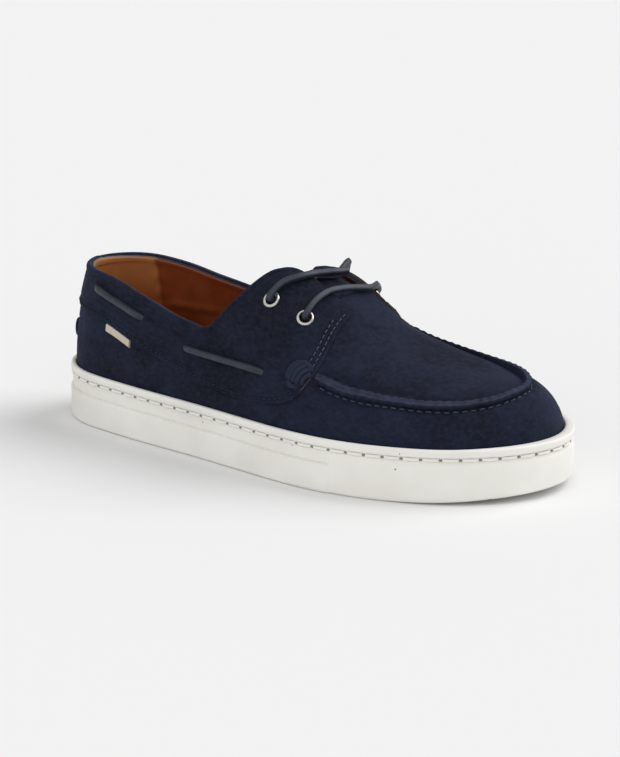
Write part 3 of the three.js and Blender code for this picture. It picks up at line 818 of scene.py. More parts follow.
# Each piece's own tone, then a darker colour that paints the shade on it.
shades = {0: low, 6: linear("c88650"), 7: linear("a0602f")}
heel_lining = add_node(tree, "Mix", shades, 2, data_type="RGBA")
shades = {0: forward, 6: linear("884420"), 7: linear("703013")}
front_lining = add_node(tree, "Mix", shades, 2, data_type="RGBA")
colour = add_node(tree, "Mix", {0: past_joint, 6: heel_lining, 7: front_lining}, 2, data_type="RGBA")
# A dark red-brown painted as shade low inside the shoe, then random paler rubbed patches.
for share, tint in ((shade_low_inside, "642c13"), (rubbed, "a35a2c")):
    colour = add_node(tree, "Mix", {0: share, 6: colour, 7: linear(tint)}, 2, data_type="RGBA")
tree.links.new(colour, shader["Base Color"])
relief = add_node(tree, "Bump", {"Height": pores, "Strength": 0.3, "Distance": 0.12 * MM})
tree.links.new(relief, shader["Normal"])

stations = np.linspace(0, 2, insole_columns, endpoint=False)


def over_footbed(rise):
    wall = on_last(stations, rise, inside)[0]
    return wall[:, 2] > foot_height(wall[:, 0]) + insole_thickness


edge = on_last(stations, bisected(over_footbed, 0.001, 0.4, insole_columns, 30)[0], inside)[0]
foot = on_last(stations, 0.0, inside)[0]
m, _ = folded(stations)
spine = np.stack([spine_x(m), spine_y(spine_x(m)), 0 * m], 1)
rings = [spine + np.stack([0 * m, 0 * m, foot_height(spine_x(m)) + 0.2], 1), foot + (0, 0, 0.2)]
for share, up in insole_profile:
    ring = spine + (edge - spine) * (share, share, 0)
    dish = bump(ring[:, 0], 45, 28) * (1 - share**2) * 1.4
    ring[:, 2] = foot_height(ring[:, 0]) + insole_thickness + up - dish
    rings.append(ring)
points, faces = welded(np.vstack(rings), ring_faces(len(rings), insole_columns))
insole = make_mesh("insole_footbed", points, faces, [lining_leather], angle=50)
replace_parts(insole, "insole")

# The upper
# Vamp, quarters and plug in navy suede, pulled over the last and lined with smooth leather. The
# shell is open at the collar and the throat, and its foot stands in the cup of the sole.
# share of the length, outer and inner share of the collar's height
collar_edge = [
    (0, 1, 1),
    (0.07, 1, 0.99),
    (0.15, 0.98, 0.95),
    (0.22, 0.92, 0.905),
    (0.31, 0.84, 0.85),
    (0.362, 0.805, 0.815),
    (0.374, 0.8, 0.81),
]
wing_edge = [
    (0.39, 0.815, 0.82),
    (0.435, 0.985, 0.965),
    (0.462, 1.1, 1.08),
    (0.482, 1.165, 1.135),
    (0.503, 1.19, 1.16),
]
# share of the length, outer and inner share of the ball's width
throat_edge = [
    (0.3, 0.24, 0.24),
    (0.44, 0.2, 0.2),
    (0.5, 0.18, 0.18),
    (0.56, 0.16, 0.165),
    (0.62, 0.14, 0.15),
]
plug_tuck = 8


def edge_curve(rows, side, height, count=40):
    """A smooth line through an edge table's rows on one side, 0 for the outer and 1 for the inner."""
    points = np.array([(row[0] * sole_length, row[1 + side] * height) for row in rows])
    t = np.linspace(0, len(points) - 1, count)
    i = np.clip(t.astype(int), 0, len(points) - 2)
    u = (t - i)[:, None]
    a, b = points[np.maximum(i - 1, 0)], points[i]
    c, d = points[i + 1], points[np.minimum(i + 2, len(points) - 1)]
    v, w = (c - a) / 2, (d - b) / 2
    return (2 * b - 2 * c + v + w) * u**3 + (-3 * b + 3 * c - 2 * v - w) * u**2 + v * u + b


side_lines = []
throat_lines = []
for side in (0, 1):
    parts = [edge_curve(rows, side, collar_height) for rows in (collar_edge, wing_edge)]
    side_lines.append(np.vstack(parts))
    throat_lines.append(edge_curve(throat_edge, side, ball_width))
peak_x = wing_edge[-1][0] * sole_length


def edge_rise(station, throat_end):
    """The rise where the last's section meets the collar's or the throat's edge."""
    station = np.asarray(station, float)
    inner = np.mod(station, 2) > 1

    def past_edge(rise):
        x, y, z = np.moveaxis(last_point(station, rise), -1, 0)
        top, inner_top = (np.interp(x, *line.T) for line in side_lines)
        gap, inner_gap = (np.interp(x, *line.T) for line in throat_lines)
        above = (x < peak_x) & (z > np.where(inner, inner_top, top))
        between = (x > throat_lines[0][0, 0]) & (x < throat_end)
        between &= np.abs(y - spine_y(x)) < np.where(inner, inner_gap, gap)
        return above | between

    return bisected(past_edge, 0.02, 1, station.shape, 34)[0]


def rounded_peak(rise, x, reach):
    """The edge's rise with the wing's peak rounded over a number of samples."""
    window = np.hanning(2 * reach + 1)
    padded = np.pad(rise, reach, mode="edge")
    even = np.convolve(padded, window / window.sum(), mode="valid")
    near_peak = np.exp(-(((x - peak_x) / 9) ** 4))
    return rise + (even - rise) * near_peak


# Soft troughs and ridges of the hide: side, depth, width, then x and z along the line.
creases = [
    ("outer", -0.7, 4.5, [(104, 66), (92, 54), (76, 46)]),
    ("outer", 0.4, 5, [(112, 60), (100, 48), (84, 40)]),
    ("outer", -0.45, 6, [(118, 66), (128, 54), (140, 47)]),
    ("outer", 0.35, 7, [(126, 72), (138, 62), (150, 58)]),
    ("outer", 0.4, 6, [(126, 86), (135, 72), (139, 58)]),
    ("outer", -0.35, 5, [(118, 78), (125, 68), (128, 56)]),
    ("outer", -0.4, 7, [(60, 42), (84, 33), (108, 29)]),
    ("outer", 0.4, 6, [(34, 56), (58, 48), (80, 38)]),
    ("outer", -0.5, 5, [(190, 50), (200, 42), (206, 33)]),
    ("outer", -0.4, 5, [(206, 48), (215, 40), (220, 32)]),
    ("outer", 0.35, 6, [(224, 44), (232, 37), (238, 30)]),
    ("outer", -0.35, 5, [(16, 60), (20, 44), (18, 32)]),
    ("inner", -0.7, 4.5, [(106, 67), (94, 56), (80, 46)]),
    ("inner", 0.4, 5, [(114, 60), (102, 50), (88, 42)]),
    ("inner", -0.4, 6, [(120, 66), (132, 54), (146, 48)]),
    ("inner", -0.5, 5, [(192, 50), (202, 42), (210, 33)]),
    ("inner", 0.35, 6, [(216, 44), (226, 37), (234, 30)]),
    ("inner", -0.4, 6, [(40, 54), (60, 44), (84, 36)]),
]


def way_to(places, line):
    """The least distance from each place to a line of points."""
    best = np.full(places.shape[:-1], 1e9)
    for a, b in zip(line, line[1:]):
        run = b - a
        t = np.clip(((places - a) @ run) / (run @ run), 0, 1)
        best = np.minimum(best, np.linalg.norm(places - a - t[..., None] * run, axis=-1))
    return best


def slack(points):
    """How far the hide stands off the last, in its folds and in slow uneven waves."""
    x, y, z = np.moveaxis(points, -1, 0)
    inner = y > spine_y(x)
    total = 0.22 * np.sin(x / 9 + z / 14) * np.sin(y / 11 + x / 23)
    total += 0.1 * np.sin(x / 5.3 - z / 6.1 + y / 8)
    total -= 2 * bump(x, 264, 17) * bump(y, 27, 15)
    total -= 2.6 * np.clip((z - 46) / 34, 0, 1) * bump(np.maximum(x, 0), 0, 24)
    seen_from_side = np.stack([x, z], -1)
    for side, depth, width, line in creases:
        fold = 1.5 * depth * bump(way_to(seen_from_side, np.array(line, float)), 0, width)
        total += np.where(inner == (side == "inner"), fold, 0)
    return total


# place, outer and inner share of the upper's reach
seam_places = [
    (0.6, 0.81, 0.68),
    (0.7, 0.79, 0.56),
    (0.78, 0.78, 0.5),
    (0.86, 0.74, 0.48),
    (0.93, 0.67, 0.53),
    (1, 0.61, 0.61),
]
seam_start = 0.592
seam_shares = [spline([(row[0], row[side]) for row in seam_places]) for side in (1, 2)]
gather_pitch = 6.4


def seam_share(station):
    m, side = folded(station)
    return np.where(side < 0, seam_shares[0](m), seam_shares[1](m))


def at_share(station, share, offset):
    return on_last(station, share_to_rise(station, share), offset)


def seam_relief(station, rise):
    """The channel below the raised seam, the dip inside it and the gathers of the vamp's wall."""
    m, _ = folded(station)
    square = squareness(along(spine_x(m)))
    share = np.clip(np.cos(rise * math.pi / 2), 0, 1) ** (2 / square)
    out = (share - seam_share(station)) * upper_reach(station)
    shown = np.clip((m - seam_start) / 0.02, 0, 1)
    gathers = np.cos(2 * math.pi * spine_travel(station) / gather_pitch)
    relief = -1.3 * bump(out, 2.3, 1.2) - 0.5 * bump(out, -2.6, 1.6)
    relief += 0.5 * bump(out, 6, 3) + 0.22 * gathers * bump(out, 4, 3)
    return relief * shown


seam_stations = np.linspace(seam_start, 2 - seam_start, 600)
seam_line = at_share(seam_stations, seam_share(seam_stations), 0)[0]
seam_travel = lengths(seam_line)


def spine_travel(station):
    """Length along the seam, from its outer start."""
    return np.interp(np.mod(station, 2), seam_stations, seam_travel)


def hide(station, rise, lift=0.0):
    """Points on the upper's skin, folds and seam relief included, lifted by a height."""
    surface = last_point(station, rise)
    calm = np.clip((surface[..., 2] - sole_top(surface[..., 0])) / 9, 0, 1)
    return on_last(station, rise, slack(surface) * calm + seam_relief(station, rise) + lift)


# Suede: split calf, brushed. The nap lies in patches that catch the light or swallow it, with a
# soft blue sheen at grazing angles and single fibres at about a third of a millimetre.
def suede(name, dark, light, worn):
    material, tree, shader = new_material(
        name,
        Roughness=0.95,
        Specular_IOR_Level=0.15,
        Sheen_Weight=0.22,
        Sheen_Roughness=0.45,
        Sheen_Tint=linear("5a6288"),
    )
    where = add_node(tree, "TexCoord", {}, "Object")
    sweep = {"Vector": where, "Scale": (1, 1, 1.6), "Rotation": (0, 0.35, 0.2)}
    swept = add_node(tree, "Mapping", sweep)
    patches = {"Vector": swept, "Scale": per_metre(22), "Detail": 4, "Roughness": 0.55, "Distortion": 0.8}
    brushed = add_node(tree, "TexNoise", patches)
    broad = add_node(tree, "TexNoise", {"Vector": where, "Scale": per_metre(60), "Detail": 2})
    brushed = add_node(tree, "Math", {0: brushed, 1: broad}, operation="ADD")
    tufts = {"Vector": swept, "Scale": per_metre(3.2), "Detail": 4, "Roughness": 0.65}
    nap = add_node(tree, "TexNoise", tufts)
    fibres = {"Vector": where, "Scale": per_metre(0.35), "Detail": 3, "Roughness": 0.7}
    fibre = add_node(tree, "TexNoise", fibres)
    lit = add_node(tree, "MapRange", {"Value": brushed, "From Min": 0.83, "From Max": 1.19})
    colour = add_node(tree, "Mix", {0: lit, 6: linear(dark), 7: linear(light)}, 2, data_type="RGBA")
    for value, start, end, strength in ((nap, 0.4, 0.75, 0.55), (fibre, 0.5, 0.8, 0.6)):
        raised = add_node(tree, "MapRange", {"Value": value, "From Min": start, "From Max": end})
        raised = add_node(tree, "Math", {0: raised, 1: strength}, operation="MULTIPLY")
        colour = add_node(tree, "Mix", {0: raised, 6: colour, 7: linear(worn)}, 2, data_type="RGBA")
    tree.links.new(colour, shader["Base Color"])
    rough = add_node(tree, "Math", {0: nap, 1: fibre}, operation="ADD")
    relief = add_node(tree, "Bump", {"Height": rough, "Strength": 0.6, "Distance": 0.22 * MM})
    tree.links.new(relief, shader["Normal"])
    return material


navy_suede = suede("navy_suede", "0f121b", "1b2031", "2a2f42")
cut_suede = suede("cut_suede_edge", "1e212e", "2f3446", "454a5c")

eyelet_places = {
    "rear_outer": rear_eyelet,
    "front_outer": front_eyelet,
    "rear_inner": (2 - rear_eyelet[0], rear_eyelet[1]),
    "front_inner": (2 - front_eyelet[0], front_eyelet[1]),
}
eyelet_hole = 5.2
barrel_wall = 0.4
punched = eyelet_hole / 2 + barrel_wall + 0.1


def punch(grids, kept):
    """Takes the faces inside each eyelet's hole away and brings their rim to the round."""
    top = grids[0]
    for station, rise in eyelet_places.values():
        centre, axis = on_last(station, rise, 0)
        arm = top - centre
        arm = arm - (arm @ axis)[..., None] * axis
        away = np.linalg.norm(arm, axis=-1)
        near = np.linalg.norm(top - centre, axis=-1) < 3 * punched
        inside_hole = (away < punched) & near
        gone = inside_hole[:-1, :-1] | inside_hole[1:, :-1] | inside_hole[:-1, 1:] | inside_hole[1:, 1:]
        if kept.shape[1] > gone.shape[1]:
            gone = np.column_stack([gone, np.zeros(len(gone), bool)])
        gone &= kept
        kept &= ~gone
        rim = np.zeros(away.shape, bool)
        rows, columns = np.nonzero(gone)
        for row, column in zip(rows, columns):
            rim[row : row + 2, column : column + 2] = True
        rim &= ~inside_hole
        for grid in grids:
            arm = grid - centre
            height = (arm @ axis)[..., None] * axis
            flat = arm - height
            round_arm = flat / np.maximum(np.linalg.norm(flat, axis=-1, keepdims=True), 1e-6) * punched
            grid[rim] = (centre + height + round_arm)[rim]


def shell(name, top, bottom, kept, materials, wrap=False, angle=45, worn=None):
    """A closed skin between two grids of points. Its materials are for the top, the bottom and the
    rims, and a fourth for faces marked as worn and the rims beside them."""
    rows, columns = top.shape[:2]
    count = rows * columns
    index = np.arange(count).reshape(rows, columns)
    following = np.roll(index, -1, axis=1)
    faces, slots, sides = [], [], {}
    for i, j in zip(*np.nonzero(kept)):
        if not wrap and j == columns - 1:
            continue
        face = (int(index[i, j]), int(following[i, j]), int(following[i + 1, j]), int(index[i + 1, j]))
        faces.append(face)
        rubbed = worn is not None and worn[i, j]
        slots.append(3 if rubbed else 0)
        faces.append(tuple(count + c for c in reversed(face)))
        slots.append(1)
        for a, b in zip(face, face[1:] + face[:1]):
            if (b, a) in sides:
                del sides[(b, a)]
            else:
                sides[(a, b)] = 3 if rubbed else 2
    for (a, b), slot in sides.items():
        faces.append((b, a, count + a, count + b))
        slots.append(slot)
    points = np.vstack([top.reshape(-1, 3), bottom.reshape(-1, 3)])
    used = sorted({i for face in faces for i in face})
    renumber = {old: new for new, old in enumerate(used)}
    faces = [tuple(renumber[i] for i in face) for face in faces]
    return make_mesh(name, points[used], faces, materials, slots, angle=angle)


upper_columns = 540
past_throat = 400  # a throat's end ahead of the whole shoe
joint_x = 30  # where the heel's lining meets the front's
wall_rows = 48
plug_rows = 26
even = np.linspace(0, 1, upper_columns // 2 + 1)
half = even + 0.05 * np.sin(math.pi * even)  # closer together towards the toe
plug_back = throat_edge[-1][0] * sole_length - plug_tuck
fine_m = np.linspace(0, 1, 4000)
plug_station = float(np.interp(plug_back, spine_x(fine_m), fine_m))
plug_column = int(np.argmin(np.abs(half - plug_station)))
half[plug_column] = plug_station
stations = np.concatenate([half, 2 - half[-2:0:-1]])
columns = len(stations)
behind_plug = folded(stations)[0] < plug_station - 1e-9
at_plug = edge_rise(np.array([plug_station - 1e-4, 2 - plug_station + 1e-4]), plug_back + 1)
top_rise = edge_rise(stations, plug_back + 1)
top_rise = rounded_peak(top_rise, last_point(stations, top_rise)[:, 0], 5)
m, side = folded(stations)
blend = np.clip((m - plug_station) / (1 - plug_station), 0, 1)
front_rise = np.where(side < 0, at_plug[0], at_plug[1]) * (1 - blend) + 0.84 * blend
top_rise = np.where(behind_plug, top_rise, front_rise)
steps = np.linspace(0, 1, wall_rows + 1)[:, None]
plug_steps = np.linspace(0, 1, plug_rows + 1)[1:, None]
rise_grid = np.vstack([steps * top_rise, top_rise + (1 - top_rise) * plug_steps])
station_grid = np.broadcast_to(stations, rise_grid.shape)
top = hide(station_grid, rise_grid)[0]
surface = last_point(station_grid, rise_grid)
from_joint = surface[..., 0] - joint_x
puckers = np.sin(surface[..., 2] / 1.5) * bump(from_joint, 0, 4)
joint = -0.7 * bump(from_joint, 0, 1.3) + 0.3 * puckers
fold_ends = np.clip(from_joint / 8, 0, 1) * np.clip((74 - surface[..., 0]) / 14, 0, 1)
joint += 0.9 * bump(surface[..., 2], 53.5, 2.2) * fold_ends
bottom = on_last(station_grid, rise_grid, 0.8 * slack(surface) - upper_wall - joint)[0]
mirror = np.concatenate([[0], np.arange(columns - 1, 0, -1)])
for grid in (top, bottom):
    grid[-1] = (grid[-1] + grid[-1][mirror]) / 2
kept = np.ones((len(rise_grid) - 1, columns), bool)
ahead_of_plug = ~behind_plug & ~np.roll(behind_plug, -1)
kept[wall_rows:, ~ahead_of_plug] = False
punch([top, bottom], kept)
upper = shell("upper_shell", top, bottom, kept, [navy_suede, lining_leather, cut_suede], wrap=True)
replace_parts(upper, "upper")

# The raised seam
# The vamp's wall and the plug stand up together as a gathered ridge, cut raw along its top and
# drawn together by hand with waxed thread.
seam_thread = new_material("waxed_blue_thread", Base_Color=linear("343b52"), Roughness=0.55)[0]
navy_thread = new_material(
    "waxed_navy_thread", Base_Color=linear("20273a"), Roughness=0.8, Specular_IOR_Level=0.25
)[0]
seam_stitch = (4.4, 2.3, 0.85, 0.35)
seam_profile = [  # outwards from the seam's middle and up from the last
    (1.25, -1.6),
    (1.3, -0.2),
    (1.6, 0.7),
    (1.75, 1.2),
    (1.6, 1.75),
    (1.05, 2.05),
    (0.35, 2),
    (0.05, 1.75),
    (-0.25, 1.95),
    (-0.8, 1.95),
    (-1.25, 1.6),
    (-1.4, 0.95),
    (-1.35, 0.1),
    (-1.25, -1.6),
]
raw_top = range(5, 9)  # the profile's cut edge
seam_columns = 1300
stations = np.linspace(seam_start, 2 - seam_start, seam_columns)
travelled = spine_travel(stations)
from_end = np.minimum(travelled, travelled[-1] - travelled)
grown = np.clip(from_end / 9, 0, 1) ** 0.6
wobble = 0.1 * np.sin(travelled / 7.3) + 0.07 * np.sin(travelled / 3.1 + 1)
pull = 0.5 - 0.5 * np.cos(2 * math.pi * travelled / seam_stitch[0])
rings = []
for out, up in seam_profile:
    side_swell = np.sign(out) * 0.22 * pull * np.clip(up, 0, 1)
    across = (out + side_swell) * (0.55 + 0.45 * grown) + wobble
    height = (up + 0.3 * pull * (up > 1.5) - 0.1) * grown - 0.9 * (1 - grown)
    share = seam_share(stations) + across / upper_reach(stations)
    rings.append(at_share(stations, share, height)[0])
rings = np.array(rings).transpose(1, 0, 2)
count = len(seam_profile)
faces = tube_faces(seam_columns, count)
slots = [1 if k % count in raw_top else 0 for k in range(len(faces) - 2)] + [0, 0]
materials = [navy_suede, cut_suede]
plug_seam = make_mesh("plug_seam_ridge", rings, faces, materials, slots, angle=50)
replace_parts(plug_seam, "plug_seam")

stitch_stations = np.linspace(seam_start + 0.012, 2 - seam_start - 0.012, 1100)
beside = seam_share(stitch_stations) + 2.5 / upper_reach(stitch_stations)
line, normals = hide(stitch_stations, share_to_rise(stitch_stations, beside), 0.15)
stitched_row("plug_seam_stitches", line, normals, seam_stitch, seam_thread)

# The tongue
# A leaf of suede over soft felt under the throat, held under the plug. It sinks towards its free
# end, and its turned edge is pressed down in a line beside it.
tongue_top = 0.5
tongue_root = 0.7
tongue_bend = 0.62
tongue_half = 0.22 * ball_width
tongue_thickness = 2.2
tongue_drop = 6.5
tongue_rows = 70
tongue_columns = 56


def quarter_round(t, least=0.0):
    """The height of a rounded edge, from 0 at its foot to 1 where it is flat."""
    return np.sqrt(np.clip(1 - (1 - np.clip(t, 0, 1)) ** 2, least, 1))


def tongue_place(along_share, across_share):
    """Plan points of the tongue, 0 at its free end and 1 at its root, -1 and 1 at its sides."""
    x = (tongue_top + (tongue_root - tongue_top) * along_share) * sole_length
    rounding = quarter_round((x - tongue_top * sole_length) / (tongue_half * 0.5))
    half = tongue_half * rounding * (1 - 0.2 * along_share**2)
    return x, spine_y(x) + across_share * half


def lifted_to_last(x, y, offset):
    """Points over plan points, at an offset from the last below its ridge."""
    m = np.interp(x, spine_x(fine_m), fine_m)
    across = y - spine_y(x)
    station = np.where(across < 0, m, 2 - m)

    def past_point(rise):
        return np.abs(last_point(station, rise)[..., 1] - spine_y(x)) < np.abs(across)

    point = last_point(station, bisected(past_point, 0.3, 1, x.shape, 26)[1])
    return np.stack([x, y, point[..., 2] + offset], -1)


u = np.linspace(0, 1, tongue_rows)[:, None] ** 1.4
v = np.sin(np.linspace(-1, 1, tongue_columns) * math.pi / 2)[None, :]
x, y = tongue_place(*np.broadcast_arrays(u, v))
x[0], y[0] = tongue_top * sole_length, spine_y(tongue_top * sole_length)
share = np.clip((tongue_bend - x / sole_length) / (tongue_bend - tongue_top), 0, 1)
sinking = inside - tongue_drop * share
edge_way = np.minimum((x - tongue_top * sole_length), (1 - np.abs(v)) * tongue_half)
full = quarter_round(edge_way / 2.2)
groove = 0.35 * bump(edge_way, 3.4, 0.5)
waves = 0.35 * np.sin(y / 6.5 + x / 17) * np.clip(edge_way / 6, 0, 1)
top = lifted_to_last(x, y, sinking - tongue_thickness / 2 * (1 - full) - groove + waves)
bottom = lifted_to_last(x, y, sinking - tongue_thickness / 2 * (1 + full) + waves)
kept = np.ones((tongue_rows - 1, tongue_columns), bool)
tongue = shell("tongue_leaf", top, bottom, kept, [navy_suede, lining_leather, navy_suede])
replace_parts(tongue, "tongue")

# The collar panels
# One leaf of suede on each side, from the heel to the wing that carries the eyelets. Its edges are
# cut raw. One row of stitches follows the lower edge and two follow the front one.
# share of the length and of the collar's height, on both sides
panel_edge = [
    (0, 0.735),
    (0.08, 0.73),
    (0.15, 0.7),
    (0.25, 0.59),
    (0.35, 0.505),
    (0.44, 0.452),
    (0.525, 0.452),
    (0.588, 0.5),
    (0.618, 0.62),
    (0.628, 0.75),
    (0.625, 0.87),
    (0.616, 1.05),
]
panel_thickness = 1.35
panel_stitch = (3.3, 2, 0.7, 0.35)
front_corner = 0.583
first_row = 2.2
second_row = 4.9
near_edge = [0, 0.3, 0.7, 1.2, 1.7, 2.2, 2.7, 3.3, 3.9, 4.5, 5.1, 5.8, 6.8]
near_rim = [0, 0.3, 0.7, 1.3, 2.1, 3.2, 4.6]
middle_rows = 34
panel_counts = [(100, 120), (150, 70), (None, 64)]
rim_counts = [(108, 120), (peak_x, 70), (None, 64)]
stitch_rows = [("lower", first_row, False), ("front_1", first_row, True), ("front_2", second_row, True)]

# Cut leather edge: brown where the dye hasn't gone through, in an uneven grain.
raw_edge, tree, shader = new_material("raw_leather_edge", Roughness=0.85)
where = add_node(tree, "TexCoord", {}, "Object")
grain = add_node(tree, "TexNoise", {"Vector": where, "Scale": per_metre(0.8), "Detail": 3})
shades = {0: grain, 6: linear("1c1a20"), 7: linear("54403a")}
tree.links.new(add_node(tree, "Mix", shades, 2, data_type="RGBA"), shader["Base Color"])


def rise_at(station, z, steps):
    """The rise at which the last's section reaches a height."""
    return bisected(lambda rise: last_point(station, rise)[..., 2] > z, 0, 1, z.shape, steps)[1]


def station_at(x, z, side):
    """Station and rise of the last's points seen at x and z from one side."""

    def ahead(m):
        station = on_side(m, side)
        return last_point(station, rise_at(station, z, 22))[..., 0] > x

    station = on_side(bisected(ahead, 0, 1, x.shape, 26)[1], side)
    return station, rise_at(station, z, 22)


def rim_rise(m, side):
    """The rise of the collar's rim along one side, over the wing's rounded peak too."""
    rise = edge_rise(on_side(m, side), past_throat)
    return rounded_peak(rise, last_point(on_side(m, side), rise)[:, 0], 16)


def spread(line, points, counts):
    """A line's points, spread evenly by length between named places."""
    length = lengths(points)
    marks = [0]
    for place, _ in counts[:-1]:
        marks.append(float(np.interp(place, points[:, 0], length)))
    marks.append(length[-1])
    even = [np.linspace(a, b, n, endpoint=False) for a, b, (_, n) in zip(marks, marks[1:], counts)]
    return resampled(np.concatenate(even + [[length[-1]]]), length, line)


def beside_line(pairs, way, placed):
    """Pairs moved sideways over the surface by a distance in millimetres."""
    step = 1e-3
    here = placed(pairs)
    along_station = (placed(pairs + (step, 0)) - here) / step
    along_rise = (placed(pairs + (0, step)) - here) / step
    tangent = np.gradient(here, axis=0)
    sideways = np.cross(np.cross(along_station, along_rise), tangent)
    sideways *= np.sign((sideways * along_rise).sum(1, keepdims=True) + 1e-9)
    front = pairs[:, 0] > 0.5
    back = (sideways * along_station).sum(1, keepdims=True) > 0
    sideways = unit(np.where(front[:, None] & back, -sideways, sideways)) * way
    moved = []
    for a, b, c in zip(along_station, along_rise, sideways):
        moved.append(np.linalg.lstsq(np.stack([a, b], 1), c, rcond=None)[0])
    return pairs + np.array(moved)


for side, name in ((0, "outer"), (1, "inner")):
    table = edge_curve(panel_edge, 0, collar_height, 200)
    station, rise = station_at(table[:, 0], table[:, 1], side)
    points = last_point(station, rise)
    gap = np.interp(points[:, 0], *throat_lines[side].T)
    short = (points[:, 0] > peak_x) & (np.abs(points[:, 1] - spine_y(points[:, 0])) < gap)
    ends = int(np.argmax(short)) if short.any() else len(points)
    lower = np.stack([np.where(station > 1, 2 - station, station), rise], 1)[:ends]
    lower[0, 0] = 0
    lower = lower[np.concatenate([[True], np.diff(lower[:, 0]) != 0]) | (np.arange(ends) > ends // 2)]
    m = np.linspace(0, lower[-1, 0], 400)
    upper_line = np.stack([m, rim_rise(m, side)], 1)
    upper_line[-1] = lower[-1]

    def placed(pairs, side=side):
        return last_point(on_side(pairs[..., 0], side), pairs[..., 1])

    low = spread(lower, placed(lower), panel_counts)
    high = spread(upper_line, placed(upper_line), rim_counts)
    width = np.linalg.norm(placed(high) - placed(low), axis=1)
    room = np.minimum(1, width / (near_edge[-1] + near_rim[-1] + 4))
    width = np.maximum(width, 1e-6)
    rows = [way * room / width for way in near_edge]
    start, stop = rows[-1], 1 - near_rim[-1] * room / width
    rows += [start + (stop - start) * t for t in np.linspace(0, 1, middle_rows + 2)[1:-1]]
    rows += [1 - way * room / width for way in reversed(near_rim)]
    rows = np.clip(np.array(rows), 0, 1)
    grid = low[None] + (high - low)[None] * rows[..., None]
    stations = on_side(grid[..., 0], side)
    flat = placed(grid)
    from_low = way_to(flat, placed(low))
    lift = panel_thickness - 0.3 * np.exp(-from_low / 0.3)
    for row_way in (first_row, second_row):
        lift -= 0.45 * bump(from_low, row_way, 0.6)
    lift += 0.15 * bump(from_low, 3.5, 0.8)
    for ends in collar_stretches.values():
        for station, rise in ends:
            away = np.linalg.norm(flat - last_point(on_side(station, side), rise), axis=-1)
            lift += -0.7 * bump(away, 0, 1.6) + 0.35 * bump(away, 3.4, 1.6)
    # Between the stretches the lace runs under the panel and lifts it a little.
    covered = placed(np.linspace(collar_stretches["rear"][1], collar_stretches["front"][0], 12))
    lift += 0.6 * bump(way_to(flat, covered), 0, 2.4)
    top = hide(stations, grid[..., 1], fit / 2 + lift)[0]
    bottom = hide(stations, grid[..., 1], fit / 2)[0]
    kept = np.ones((len(rows) - 1, len(low)), bool)
    kept[:, -1] = False
    punch([top, bottom], kept)
    # The cut edge is worn brown beside the knot, and along the wing's front on the inner side.
    worn = np.zeros(kept.shape, bool)
    worn[0, 215:221] = True
    if side:
        worn[0, 229:] = True
        worn[-1, 195:] = True
    materials = [navy_suede, cut_suede, cut_suede, raw_edge]
    panel = shell(f"collar_panel_{name}_leaf", top, bottom, kept, materials, worn=worn)
    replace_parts(panel, "collar_panel_" + name)

    for row, way, front in stitch_rows:
        pairs = beside_line(low, way, placed)
        pairs = pairs[(way_to(placed(pairs), placed(high)) > way + 1) & (pairs[:, 0] > 0.012)]
        pairs = pairs[(pairs[:, 0] >= front_corner) == front]
        stations = on_side(pairs[:, 0], side)
        line, normals = hide(stations, pairs[:, 1], fit / 2 + panel_thickness)
        thread = seam_thread if front else navy_thread
        stitched_row(f"panel_stitches_{name}_{row}", line, normals, panel_stitch, thread)

# The knots
# On each wing's lower front corner a fastening stitch, worked by hand in thick waxed thread that
# winds over itself and through the panel.
knot_thread = 2.4
knot_place = (0.5755, 0.365)
knot_scale = (0.88, 0.9, 1)
strand_sides = 14
knot_strands = [  # forwards, up and over the panel
    [(-4.4, 5.6, -1), (-5.2, 4.6, 0.7), (-6.6, 1, 0.9), (-6.5, -2, 0.9), (-5.2, -5, 0.6), (-4.4, -6, -1)],
    [(-1.4, 6.9, -1), (-2.2, 6, 0.8), (-3.9, 2.5, 1.7), (-4.2, -1, 1.7), (-3.4, -4.8, 0.9), (-2.6, -6.4, -1)],
    [(1.4, 7.1, -1), (0.6, 6.2, 0.9), (-1.1, 2.5, 2.2), (-1.5, -1, 2.2), (-0.9, -4.8, 1.1), (-0.2, -6.6, -1)],
    [(4, 6.4, -1), (3.2, 5.6, 0.8), (1.6, 2.2, 1.8), (1.2, -1, 1.8), (1.7, -4.4, 0.9), (2.2, -6, -1)],
    [(5.4, 3.6, -1), (4.9, 3, 0.6), (4, 0.8, 1), (3.8, -1.2, 1), (4.1, -3, 0.6), (4.4, -3.6, -1)],
    [(-5.6, 3.9, -0.8), (-4.2, 5.2, 0.8), (-1.6, 6.8, 1.5), (1.6, 7.1, 1.5), (4, 6, 0.8), (5, 4.8, -0.8)],
    [(-3.8, -5.6, -0.8), (-2.6, -7, 0.8), (-0.6, -8, 1), (1.6, -7.2, 0.8), (3, -5.8, -0.8)],
]
for side, name in ((0, "outer"), (1, "inner")):
    station, rise = on_side(knot_place[0], side), knot_place[1]
    centre, normal = hide(station, rise, fit / 2 + panel_thickness)
    ahead = last_point(station + (-0.005 if side else 0.005), rise) - last_point(station, rise)
    ahead = unit(ahead - (ahead @ normal) * normal)
    up = np.cross(normal, ahead)
    up *= np.sign(up[2])
    strands = []
    for strand in knot_strands:
        strand = smooth_route(strand, 0.35) * knot_scale
        forwards, upwards, over = strand[:, :1], strand[:, 1:2], strand[:, 2:]
        line = centre + forwards * ahead + upwards * up + over * normal
        line -= normal * (forwards**2 / 90 + upwards**2 / 90)
        rings = cord_rings(line, knot_thread, strand_sides, 2.6, normal, 0.55)
        strands.append((rings.reshape(-1, 3), tube_faces(len(rings), strand_sides)))
    knot = make_mesh("knot_" + name, *joined(strands), [navy_thread], angle=70)

